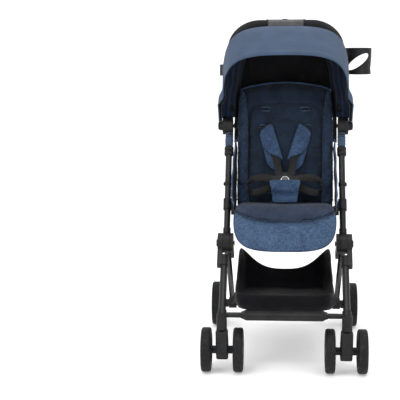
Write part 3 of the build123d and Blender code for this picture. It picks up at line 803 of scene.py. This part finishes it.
def rear_cover():
    """The cloth cover over the back board, with a bound edge, a pocket and a recline strap."""
    right = [(0.135, 0.03), (0.142, 0.05), (0.1425, 0.20), (0.1425, 0.34), (0.138, 0.385),
             (0.115, 0.402), (0.05, 0.405), (0.0, 0.405)]
    line = through([(*p, 0) for p in mirrored(right)], 120, closed=True)
    outline = [(p.x, p.y) for p in line]

    def place(u, v, w):
        return on_back(u, v, 0.0078 + w)

    cover = pad("back_rear_cover", outline, place, 0.0024, lambda u, v: 0.0068 + 0.001 * cos(u * 30),
                BLACK, edge=0.006)
    modified(cover, "SUBSURF", levels=1, render_levels=1)
    settle(cover)
    wrinkle(cover, 0.0016, (9, 9, 14), BACK_OUT, seed=3)
    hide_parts("back_board")
    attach(cover, "seat_back")
    binding = sweep("back_rear_binding", [place(p.x, p.y, -0.001) for p in line], rounded_flat(0.009, 0.002),
                    WEBBING, across=BACK_OUT, closed=True)
    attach(binding, "seat_back")

    def pocket(s, t):
        across = 2 * t - 1
        depth = 0.0078 + 0.0072 + 0.009 * sin(pi * s) ** 0.7 * (1 - across ** 4) + 0.001
        top_drop = 0.010 * (1 - across * across) * s
        return on_back(0.118 * across, mix(0.07, 0.215, s) - top_drop, -depth + 0.0075)

    pouch = sheet_grid("back_pocket", 20, 36, pocket, BLACK, thick=0.0012)
    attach(pouch, "seat_back")
    hem = sweep("back_pocket_hem", [pocket(1, k / 40) for k in range(41)], rounded_flat(0.012, 0.002),
                WEBBING, across=BACK_UP)
    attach(hem, "seat_back")
    for name, side in SIDES:
        start = Vector((side * 0.151, 0.198, 0.770))
        strap_path = through([start, (side * 0.158, 0.205, 0.752), (side * 0.166, 0.180, 0.762),
                              (side * 0.170, 0.152, 0.772)], 24)
        strap = sweep(f"recline_strap_{name}", strap_path, rounded_flat(0.018, 0.0016), WEBBING, across=UP)
        tuple(strap_path[0])
        tuple(strap_path[-1])
        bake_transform(strap)


# ---- seat ------------------------------------------------------------------
def seat():
    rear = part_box("seat_cushion")[1].y - 0.014
    route = through([(0, rear, 0.4540), (0, 0.0, 0.4600), (0, -0.085, 0.4695), (0, -0.122, 0.4735),
                     (0, -0.146, 0.4705), (0, -0.1625, 0.4630), (0, -0.1735, 0.4530),
                     (0, -0.1770, 0.4480)], 120)
    lengths = [0.0]
    for before, after in zip(route, route[1:]):
        lengths.append(lengths[-1] + (after - before).length)

    def place(u, v, w):
        k = int(np.searchsorted(lengths, min(max(v, 0.0), lengths[-1] - 1e-6), side="right")) - 1
        share = (v - lengths[k]) / (lengths[k + 1] - lengths[k])
        ahead = (route[k + 1] - route[k]).normalized()
        return route[k].lerp(route[k + 1], share) + ACROSS * u + ACROSS.cross(ahead) * -w

    flap = 0.209
    right = [(0.146, 0.004), (0.151, 0.02), (0.152, 0.12), (0.153, 0.19), (0.153, 0.2115),
             (0.136, 0.2265), (0.106, 0.2420), (0.07, 0.2485), (0.0, 0.2505)]
    line = through([(*p, 0) for p in mirrored(right)], 150, closed=True)
    outline = [(p.x, p.y) for p in line]

    def front(u, v):
        dip = 0.004 * np.exp(-((v - 0.075) / 0.05) ** 2) * (1 - (u / 0.15) ** 2)
        return mix(0.0075, 0.0040, ease((v - 0.165) / 0.06)) - dip

    def back(u, v):
        return mix(0.010, 0.0022, ease((v - 0.13) / 0.06))

    cushion = pad("seat_cushion_cover", outline, place, front, back, SLATE, edge=0.011)
    held = [place(u, v, 0) for u, v in outline]
    puff(cushion, held, cap=0.003, voxel=0.0040)
    wrinkle(cushion, 0.0016, (26, 8, 8), (0, 0, 1), seed=9,
            where=lambda p: ease((-0.10 - p[1]) / 0.05) * 0.6)
    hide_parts("seat_cushion")
    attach(cushion, "seat_frame")
    lip = [p for p in line if p.y > flap]
    lip.sort(key=lambda p: p.x)
    edge = through([(p.x, p.y, 0) for p in lip], 500)
    row = stitches("seat_lip_stitches", [place(p.x * 0.985, p.y - 0.005, 0.0058) for p in edge], DARK_THREAD)
    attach(row, "seat_frame")
    binding = sweep("seat_lip_edge", [place(p.x, p.y + 0.0004, -0.0006) for p in lip], circle(0.0017), SLATE)
    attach(binding, "seat_frame")
    calf_panel()


def calf_panel():
    """The heathered leg rest that hangs from the seat's front edge."""
    top = Vector((0, -0.1475, 0.478))
    down = Vector((0, -0.053, -0.1225)).normalized()
    out = Vector((0, down.z, -down.y)).normalized()

    def place(u, v, w):
        curl = 0.010 * ease((v - 0.06) / 0.075)
        return top + ACROSS * u + down * v + out * (w - curl)

    right = [(0.0, 0.1345), (0.035, 0.1345), (0.070, 0.1325), (0.100, 0.1275), (0.124, 0.118),
             (0.1425, 0.1015), (0.1525, 0.080), (0.1565, 0.055), (0.1565, 0.028), (0.154, 0.016),
             (0.146, 0.012), (0.10, 0.012), (0.0, 0.012)]
    points = [(-u, v) for u, v in reversed(right[1:-1])]
    line = through([(*p, 0) for p in [*right, *points]], 170, closed=True)
    outline = [(p.x, p.y) for p in line]

    def front(u, v):
        return 0.0030 + 0.0045 * ease((v - 0.03) / 0.03)

    panel = pad("calf_panel", outline, place, front, 0.006, HEATHER, edge=0.010, step=0.007)
    puff(panel, [place(u, v, 0) for u, v in outline], cap=0.0035, voxel=0.0042, slack=0.04)
    wrinkle(panel, 0.0030, (34, 6, 10), out, seed=5,
            where=lambda p: ease((0.395 - p[2]) / 0.04) * ease((abs(p[0]) - 0.02) / 0.03) * 0.8)
    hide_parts("calf_rest")
    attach(panel, "seat_frame")
    lower = [p for p in line if p.y > 0.02]
    start = max(range(len(lower)), key=lambda k: (lower[k] - lower[k - 1]).length)
    ordered = lower[start:] + lower[:start]
    inset = [place(p.x * 0.955, mix(p.y, 0.06, 0.075), 0.02) for p in through(ordered, 700)]
    row = stitches("calf_stitches", laid_on(panel, inset, out, 0.0004), THREAD)
    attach(row, "seat_frame")
    edge = [place(p.x * 0.983, mix(p.y, 0.06, 0.022), 0.0005) for p in ordered]
    binding = sweep("calf_edge", edge, circle(0.0024), HARNESS)
    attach(binding, "seat_frame")


def side_wings():
    """Cloth gussets between the seat and the side tubes, piped along their front edges."""
    for name, side in SIDES:
        front_edge = through([(0, -0.128, 0.488), (0, -0.104, 0.494), (0, -0.070, 0.507), (0, -0.030, 0.535),
                              (0, 0.014, 0.580), (0, 0.052, 0.628), (0, 0.084, 0.664)], 60)
        foot = through([(0, -0.128, 0.462), (0, -0.08, 0.466), (0, -0.02, 0.462), (0, 0.05, 0.452),
                        (0, 0.092, 0.50), (0, 0.115, 0.565), (0, 0.128, 0.625)], 60)

        def place(s, t, side=side, edge=front_edge, foot=foot):
            k = min(int(t * 59), 58)
            share = t * 59 - k
            high, low = edge[k].lerp(edge[k + 1], share), foot[k].lerp(foot[k + 1], share)
            bulge = 0.009 * sin(pi * t) * ease((s - 0.15) / 0.6) if name == "right" else 0.004 * sin(pi * t)
            x = 0.1575 + bulge + 0.0008 * sin(t * 30 + s * 4)
            p = low.lerp(high, s)
            return Vector((side * x, p.y, p.z))

        wing = sheet_grid(f"side_wing_{name}", 14, 40, place, CANOPY, LINING, thick=0.0016)
        if side < 0:
            wing.data.flip_normals()
        piping = sweep(f"side_wing_piping_{name}", [place(1, k / 60) for k in range(61)], circle(0.0024),
                       PIPING)
        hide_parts("side_wings")
        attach(wing, "seat_frame")
        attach(piping, "seat_frame")

        def corner(s, t, side=side):
            y = mix(0.160, 0.194, s) - 0.026 * t + 0.002 * sin(s * 14)
            return Vector((side * mix(0.1554, 0.1664, t), y, mix(0.648, 0.738, s)))

        gusset = sheet_grid(f"hub_gusset_{name}", 24, 10, corner, BOLSTER, thick=0.0012)
        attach(gusset, "seat_frame")


# ---- harness ---------------------------------------------------------------
BUCKLE_UP = Vector((0, cos(radians(66)), sin(radians(66))))
BUCKLE_OUT = Vector((0, -sin(radians(66)), cos(radians(66))))


def harness():
    low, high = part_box("buckle_button")
    button = (low + high) / 2
    button.x = 0
    buckle = button - BUCKLE_OUT * 0.0105  # the rear face of the buckle's body
    shoulder_pads(buckle)
    crotch_pad(buckle)
    lap_straps(buckle)
    # A bright ring round the button.
    ring = [button + BUCKLE_OUT * 0.0042 + (ACROSS * cos(a) + BUCKLE_UP * sin(a)) * 0.0128
            for a in (2 * pi * k / 64 for k in range(64))]
    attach(sweep("buckle_ring", ring, circle(0.0013), CHROME, closed=True), "seat_frame")


def shoulder_pads(buckle):
    front_shape = [(0.0045, 0.146), (0.020, 0.1585), (0.038, 0.1655), (0.057, 0.176), (0.072, 0.200),
                   (0.0815, 0.228), (0.0825, 0.246), (0.072, 0.259), (0.047, 0.2735), (0.041, 0.270),
                   (0.030, 0.236), (0.016, 0.190)]
    back_shape = [(0.026, 0.1185), (0.040, 0.1195), (0.053, 0.132), (0.063, 0.153), (0.071, 0.186),
                  (0.0845, 0.226), (0.083, 0.243), (0.070, 0.255), (0.048, 0.262), (0.034, 0.235),
                  (0.020, 0.19), (0.012, 0.150)]
    for name, side in SIDES:
        layers = (("back", back_shape, 0.0455, 0.0045, 0.0035),
                  ("front", front_shape, 0.0555, 0.0068, 0.0042))
        for layer, shape, base_w, front, back in layers:
            points = flipped(shape, side)
            line = through([(*p, 0) for p in points], 90, closed=True)
            outline = [(p.x, p.y) for p in line]

            def place(u, v, w, base_w=base_w):
                curve = 0.010 * ease((0.19 - v) / 0.08) - 0.20 * max(abs(u) - 0.058, 0)
                return on_back(u, v, base_w + w + curve)

            piece = pad(f"shoulder_pad_{layer}_{name}", outline, place, front, back, HARNESS,
                        step=0.005, edge=0.007)
            puff(piece, [place(u, v, 0) for u, v in outline], cap=0.003, voxel=0.003, slack=0.03, smooth=2)
            middle = sum((Vector(p) for p in outline), Vector((0, 0))) / len(outline)
            rim = [place(mix(p.x, middle.x, 0.13), mix(p.y, middle.y, 0.13), 0)
                   for p in through([(*p, 0) for p in points], 500, closed=True)]
            laid = laid_on(piece, rim, BACK_OUT)
            press(piece, laid, BACK_OUT, 0.0016, 0.0016)
            row = stitches(f"shoulder_stitches_{layer}_{name}", laid_on(piece, rim, BACK_OUT, 0.0004),
                           THREAD, length=0.003, gap=0.002)
            wrinkle(piece, 0.0022, (28, 28, 45), BACK_OUT, seed=2 + side)
            if layer == "front":
                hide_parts("shoulder_pads")
            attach(piece, "seat_back")
            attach(row, "seat_back")
        run = through([on_back(side * 0.072, 0.268, 0.040), on_back(side * 0.068, 0.250, 0.050),
                       on_back(side * 0.052, 0.210, 0.0515), on_back(side * 0.036, 0.172, 0.054),
                       on_back(side * 0.029, 0.158, 0.060), buckle + ACROSS * side * 0.0205
                       + BUCKLE_UP * 0.030 + BUCKLE_OUT * 0.010,
                       buckle + ACROSS * side * 0.0170 + BUCKLE_UP * 0.014 + BUCKLE_OUT * 0.008], 60)
        lean = [(ACROSS * 1.0 + BACK_UP * side * 0.45 * (1 - k / 59)).normalized() for k in range(60)]
        strap = sweep(f"shoulder_strap_{name}", run, rounded_flat(0.023, 0.0018), WEBBING, across=lean)
        if side > 0:
            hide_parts("shoulder_straps")
        tuple(run[26])
        tuple(run[50])
        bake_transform(strap)


def crotch_pad(buckle):
    base = buckle - BUCKLE_UP * 0.071

    def place(u, v, w):
        lift = 0.0045 + 0.0140 * ease((v - 0.022) / 0.026)
        return base + ACROSS * u + BUCKLE_UP * v + BUCKLE_OUT * (w + lift)

    right = [(0.0, 0.0), (0.030, 0.0), (0.0405, 0.003), (0.0415, 0.015), (0.0445, 0.036), (0.0500, 0.062),
             (0.0490, 0.0710), (0.038, 0.0725), (0.0, 0.0725)]
    left = [(-u, v) for u, v in reversed(right[1:-1])]
    line = through([(*p, 0) for p in [*right, *left]], 110, closed=True)
    outline = [(p.x, p.y) for p in line]
    piece = pad("crotch_pad_cover", outline, place, 0.0045, 0.0035, HARNESS, step=0.005, edge=0.006)
    puff(piece, [place(u, v, 0) for u, v in outline], cap=0.003, voxel=0.003, slack=0.04, smooth=2)
    wrinkle(piece, 0.0036, (14, 60, 75), BUCKLE_OUT, seed=11, where=lambda p: ease((p[2] - 0.475) / 0.03))
    rows = []
    for side in (1, -1):
        hem = through([(side * 0.0355, 0.004, 0), (side * 0.0385, 0.034, 0), (side * 0.0435, 0.069, 0)], 200)
        laid = laid_on(piece, [place(p.x, p.y, 0.01) for p in hem], BUCKLE_OUT)
        press(piece, laid, BUCKLE_OUT, 0.0016, 0.0016)
        rows.append(stitches(f"crotch_stitches_{'left' if side > 0 else 'right'}",
                             laid_on(piece, laid, BUCKLE_OUT, 0.0004), THREAD, length=0.003, gap=0.002))
    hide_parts("crotch_pad")
    for part in (piece, *rows):
        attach(part, "seat_frame")


def lap_straps(buckle):
    """Webbing that loops out from the buckle and back to the seat."""
    for name, side in SIDES:
        def spot(x, up, out, side=side):
            return buckle + ACROSS * side * x + BUCKLE_UP * up + BUCKLE_OUT * out

        run = through([spot(0.030, 0.006, 0.006), spot(0.050, 0.009, 0.009), spot(0.078, 0.012, 0.006),
                       spot(0.103, 0.006, -0.002), spot(0.1175, -0.010, -0.008), spot(0.113, -0.027, -0.012),
                       spot(0.097, -0.033, -0.013), spot(0.074, -0.027, -0.012), spot(0.052, -0.018, -0.009),
                       spot(0.030, -0.015, -0.007)], 90)
        lean = []
        for k in range(90):
            bend = np.exp(-((k / 89 - 0.47) / 0.13) ** 2)
            lean.append((BUCKLE_UP * (1 - 0.8 * bend) + BUCKLE_OUT * (0.25 + 0.9 * bend)).normalized())
        strap = sweep(f"lap_strap_{name}", run, rounded_flat(0.022, 0.0018), WEBBING, across=lean)
        if side > 0:
            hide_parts("waist_straps")
        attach(strap, "seat_frame")
        buckled = through([spot(0.037, 0.007, 0.0085), spot(0.046, 0.0085, 0.0095)], 6)
        slider = sweep(f"lap_slider_{name}", buckled, rounded_flat(0.027, 0.005), PLASTIC, across=BUCKLE_UP)
        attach(slider, "seat_frame")


# ---- basket ----------------------------------------------------------------
def basket():
    low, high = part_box("basket")
    half_x = high.x - 0.0015
    front_y, rear_y = low.y + 0.004, high.y - 0.004
    middle_y, half_y = (front_y + rear_y) / 2, (rear_y - front_y) / 2

    def floor_at(x, y):
        along = (y - front_y) / (rear_y - front_y)
        return mix(0.1790, 0.1410, along) - 0.004 + 0.004 * (x / half_x) ** 2

    def rim_at(x, y):
        side = 0.226 - 0.021 * ease((y - front_y) / 0.13) + 0.082 * ease((y + 0.108) / 0.34)
        dip = 0.088 * ease((y - 0.09) / 0.12) + 0.005 * ease((front_y + 0.05 - y) / 0.05)
        return side - dip * (1 - min(abs(x) / half_x, 1) ** 2.8)

    def place(s, t):
        corner, q = int(4 * t) % 4, 2 * (4 * t % 1) - 1
        across, along = ((1, q), (-q, 1), (-1, -q), (q, -1))[corner]
        square = (1 + abs(q) ** 8) ** 0.125
        across, along = across / square, along / square
        floor_share = 0.5
        if s < floor_share:
            k = (s / floor_share) * 0.965
            x, y = half_x * across * k, middle_y + half_y * along * k
            return Vector((x, y, floor_at(x, y) + 0.004 * ease((k - 0.86) / 0.105)))
        up = (s - floor_share) / (1 - floor_share)
        k = mix(0.965, 1.0, ease(up * 2.5))
        x, y = half_x * across * k, middle_y + half_y * along * k
        bow = 0.005 * sin(pi * up)
        x += bow * np.sign(across) * (abs(across) > 0.98)
        base = floor_at(x, y) + 0.004
        return Vector((x, y, mix(base, rim_at(x, y), up)))

    rings, around = 30, 120
    points = [place(r / rings, c / around) for r in range(1, rings + 1) for c in range(around)]
    points.append(Vector((0, middle_y, floor_at(0, middle_y))))
    faces = [(r * around + c, r * around + (c + 1) % around, (r + 1) * around + (c + 1) % around,
              (r + 1) * around + c) for r in range(rings - 1) for c in range(around)]
    faces += [(len(points) - 1, (c + 1) % around, c) for c in range(around)]
    bag = make("basket_cloth", points, faces, BLACK)
    wrinkle(bag, 0.0070, (9, 13, 6), (0, 0, 1), seed=4, where=lambda p: 1 - ease((p[2] - 0.19) / 0.03))
    wrinkle(bag, 0.0050, (4, 16, 22), (1, 0, 0), seed=8, where=lambda p: ease((abs(p[0]) - 0.13) / 0.01))
    modified(bag, "SOLIDIFY", thickness=0.0016, offset=0)
    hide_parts("basket")
    rim = [place(1, k / 240) for k in range(240)]
    hem = sweep("basket_hem", rim, rounded_flat(0.014, 0.0028), BLACK, across=UP, closed=True)
    row = stitches("basket_stitches", [p - UP * 0.009 + (p - Vector((0, middle_y, p.z))).normalized() * 0.0016
                                       for p in (place(1, k / 1400) for k in range(1400))], DARK_THREAD)
    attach(bag, "front_legs")
    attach(hem, "front_legs")
    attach(row, "front_legs")
    extras = [hem]
    for name, side in SIDES:
        corner_front = Vector((side * half_x, front_y + 0.012, 0.224))
        loop = through([corner_front, (side * 0.153, -0.262, 0.2235), (side * 0.160, -0.268, 0.215),
                        (side * 0.1695, -0.2555, 0.2095)], 20)
        hanger = sweep(f"basket_strap_front_{name}", loop, rounded_flat(0.016, 0.0016), WEBBING, across=UP)
        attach(hanger, "front_legs")
        cap = lathe(f"basket_snap_{name}", Vector((side * (half_x + 0.001), 0.150, 0.236)), (side, 0, 0),
                    [(-0.002, 0.0075), (0.002, 0.0078), (0.0034, 0.0062), (0.0040, 0.003)], PLASTIC, sides=24)
        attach(cap, "front_legs")
        extras += [hanger, cap]


# ---- frame trim ------------------------------------------------------------
def tube_sleeves():
    """Cloth sleeves under the hubs, and the collars below them."""
    for name, side in SIDES:
        top = HUB + ACROSS * side * TUBE_X - UP_TUBE * 0.030
        profile = []
        for k in range(41):
            share = k / 40
            ripple = 0.0006 * sin(share * 34) + 0.0005 * sin(share * 57 + 1)
            profile.append((-0.046 * share, 0.0118 + 0.0008 * sin(pi * share) + ripple))
        profile += [(-0.046, 0.0102), (0.0, 0.0102)]
        sleeve = lathe(f"tube_sleeve_{name}", top, UP_TUBE, profile, CANOPY, loop=True)
        wrinkle(sleeve, 0.0012, (60, 60, 95), (0.6 * side, -0.8, 0), seed=6 + side)
        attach(sleeve, "seat_frame")
        ring = [(0, 0.0102), (0, 0.0140), (-0.002, 0.0148), (-0.009, 0.0148), (-0.0105, 0.0128),
                (-0.0120, 0.0128), (-0.0135, 0.0148), (-0.026, 0.0148), (-0.028, 0.0136), (-0.029, 0.0102)]
        collar = lathe(f"tube_collar_{name}", top - UP_TUBE * 0.048, UP_TUBE, ring, PLASTIC, loop=True)
        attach(collar, "seat_frame")
        stud = [(0, 0.0102), (0.0, 0.0118), (-0.012, 0.0118), (-0.012, 0.0102)]
        band = lathe(f"tube_band_{name}", top - UP_TUBE * 0.170, UP_TUBE, stud, PLASTIC, loop=True)
        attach(band, "seat_frame")
        lug = lathe(f"tube_stud_{name}", top - UP_TUBE * 0.176 + ACROSS * side * 0.0095, (side, 0, 0),
                    [(0, 0.0058), (0.0036, 0.0058), (0.0050, 0.0046), (0.0054, 0.002)], STEEL, sides=24)
        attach(lug, "seat_frame")


def joint_caps():
    """Domed caps over the pivots, with a shallow ring in each."""
    dome = [(0, 0.0235), (0.0012, 0.0240), (0.0034, 0.0222), (0.0044, 0.0190), (0.0040, 0.0178),
            (0.0046, 0.0166), (0.0058, 0.0100), (0.0062, 0.0030)]
    for name, side in SIDES:
        start = KNUCKLE + ACROSS * side * 0.2066
        cap = lathe(f"knuckle_cap_{name}", start, (side, 0, 0), [(d * 0.35, r) for d, r in dome], PLASTIC)
        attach(cap, "front_legs")
        small = [(d * 0.55, r * 0.55) for d, r in dome]
        button = lathe(f"hub_cap_{name}", HUB + ACROSS * side * 0.2142, (side, 0, 0), small, PLASTIC)
        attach(button, "seat_frame")


def tyres_and_caps():
    """Tyres with rounded shoulders and fine tread lines, and a cap over each axle's end."""
    for node in sorted(frame["nodes"]):
        if not node.endswith("_tyre"):
            continue
        low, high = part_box(node)
        centre, radius, width = (low + high) / 2, (high.z - low.z) / 2, high.x - low.x
        body = frame["nodes"][node]["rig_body"]
        half, inner = width / 2, 0.725 * radius
        profile = []
        for k in range(49):
            turn = pi * k / 48
            across, out = -cos(turn), sin(turn)
            x = half * np.sign(across) * abs(across) ** 0.55
            r = mix(radius - 0.017, radius, out ** 0.42)
            for groove in (-0.36, 0.0, 0.36):
                r -= 0.0011 * np.exp(-((x / half - groove) / 0.045) ** 2)
            profile.append((x, r))
        profile += [(half * 0.86, inner + 0.002), (half * 0.80, inner), (-half * 0.80, inner),
                    (-half * 0.86, inner + 0.002)]
        tyre = lathe(f"{node}_tread", centre, (1, 0, 0), profile, TYRE, sides=96, loop=True)
        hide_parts(node)
        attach(tyre, body)
        for x_side in (1, -1):
            disc = [(0, 0.0150), (0.0018, 0.0150), (0.0030, 0.0136), (0.0024, 0.0112), (0.0036, 0.0098),
                    (0.0042, 0.0040)]
            at = centre + ACROSS * x_side * (half - 0.0035)
            if (x_side > 0) == (centre.x > 0) and ("outer" in node or "rear" in node):
                cap = lathe(f"{node[:-5]}_cap", at, (x_side, 0, 0), disc, PLASTIC, sides=40)
                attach(cap, body)
        rim = [(-half * 0.74, inner - 0.0052), (-half * 0.80, inner - 0.0012), (-half * 0.78, inner + 0.0008),
               (-half * 0.70, inner - 0.0005)]
        for x_side in (1, -1):
            label = "a" if x_side > 0 else "b"
            bead = lathe(f"{node[:-5]}_rim_{label}", centre, (x_side, 0, 0), rim, PLASTIC, sides=72,
                         loop=True)
            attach(bead, body)


def footrest():
    """The moulded step over the footrest bar, with tapered ends and a ribbed top."""
    low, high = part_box("footrest_step")
    middle = (low + high) / 2
    stations, points, ring = 61, [], 40
    for number in range(stations):
        share = 2 * number / (stations - 1) - 1
        x = share * (high.x - 0.001)
        taper = 1 - 0.42 * ease((abs(share) - 0.86) / 0.14)
        for k in range(ring):
            turn = 2 * pi * k / ring
            y = 0.0285 * np.sign(cos(turn)) * abs(cos(turn)) ** 0.55
            z = 0.0132 * np.sign(sin(turn)) * abs(sin(turn)) ** 0.62
            if z > 0.008:
                z += 0.0007 * cos(x * 2 * pi / 0.012) * (abs(share) < 0.84)
            points.append(Vector((x, middle.y + y * mix(1, taper, 0.8), middle.z + 0.0015 + z * taper)))
    faces = [(i * ring + k, i * ring + (k + 1) % ring, (i + 1) * ring + (k + 1) % ring, (i + 1) * ring + k)
             for i in range(stations - 1) for k in range(ring)]
    faces += [tuple(range(ring)), tuple(range((stations - 1) * ring, stations * ring))]
    step = make("footrest_cover", points, faces, PLASTIC)
    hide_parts("footrest_step")
    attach(step, "front_legs")


def handle_trim():
    """Seams at the ends of the grips, as raised rings beside the handle's housing."""
    low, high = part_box("handle_housing")
    centre, half = (low + high) / 2, (high.x - low.x) / 2
    for name, side in SIDES:
        ring = [(-0.004, 0.0133), (-0.004, 0.0150), (0.0, 0.0158), (0.004, 0.0150), (0.004, 0.0133)]
        start = centre + ACROSS * side * (half + 0.003)
        band = lathe(f"grip_end_{name}", start, (1, 0, 0), ring, PLASTIC, loop=True)
        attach(band, "handle")


# ---- surroundings ----------------------------------------------------------
def surroundings():
    floor_finish = Finish("studio_floor", 0.9, Emission_Color=(1, 1, 1, 1), Emission_Strength=0.22)
    floor_finish.colour(floor_finish.blend(floor_finish.noise(3, 3), rgb("F2F2F2"), rgb("F6F6F6")))
    points, faces, rise = [], [], 2.6
    profile = [(-9.0, 0.0), (rise, 0.0)]
    profile += [(rise + 1.5 * sin(a), 1.5 - 1.5 * cos(a)) for a in (pi / 2 * k / 16 for k in range(1, 17))]
    profile += [(rise + 1.5, 7.0)]
    for y, z in profile:
        points += [(-9.0, y, z), (9.0, y, z)]
    for k in range(len(profile) - 1):
        faces.append((2 * k, 2 * k + 1, 2 * k + 3, 2 * k + 2))
    floor = make("studio_backdrop", points, faces, floor_finish.material, outward=False)

    world = bpy.data.worlds.new("studio")
    world.use_nodes = True
    world.node_tree.nodes["Background"].inputs["Color"].default_value = (1, 1, 1, 1)
    world.node_tree.nodes["Background"].inputs["Strength"].default_value = 0.78
    scene.world = world
    target = Vector((0, 0, 0.55))
    for name, place, size, power in (("key", (-1.7, -2.6, 2.4), 2.0, 56), ("fill", (2.2, -2.4, 1.5), 1.8, 26),
                                     ("top", (0.1, -0.4, 3.0), 2.2, 40)):
        data = bpy.data.lights.new(name, "AREA")
        data.size, data.energy = size, power
        light = bpy.data.objects.new(name, data)
        light.location = place
        light.rotation_euler = (target - Vector(place)).to_track_quat("-Z", "Y").to_euler()
        scene.collection.objects.link(light)

    camera_data = bpy.data.cameras.new("camera")
    camera_data.lens, camera_data.sensor_width = 104.16, 36.0
    camera = bpy.data.objects.new("camera", camera_data)
    place = Matrix.Translation((0, -3.6366, 1.0541))
    yaw, pitch, roll = radians(4.246), radians(-8.978), radians(-0.344)
    camera.matrix_world = (place @ Matrix.Rotation(yaw, 4, "Z") @ Matrix.Rotation(pi / 2 + pitch, 4, "X")
                           @ Matrix.Rotation(roll, 4, "Z"))
    scene.collection.objects.link(camera)
    scene.camera = camera
    scene.view_settings.view_transform = "Standard"


surroundings()
dress_frame()
canopy()
canopy_wall()
canopy_sides()
canopy_label()
seat_back()
seat()
side_wings()
harness()
basket()
tube_sleeves()
joint_caps()
tyres_and_caps()
footrest()
handle_trim()
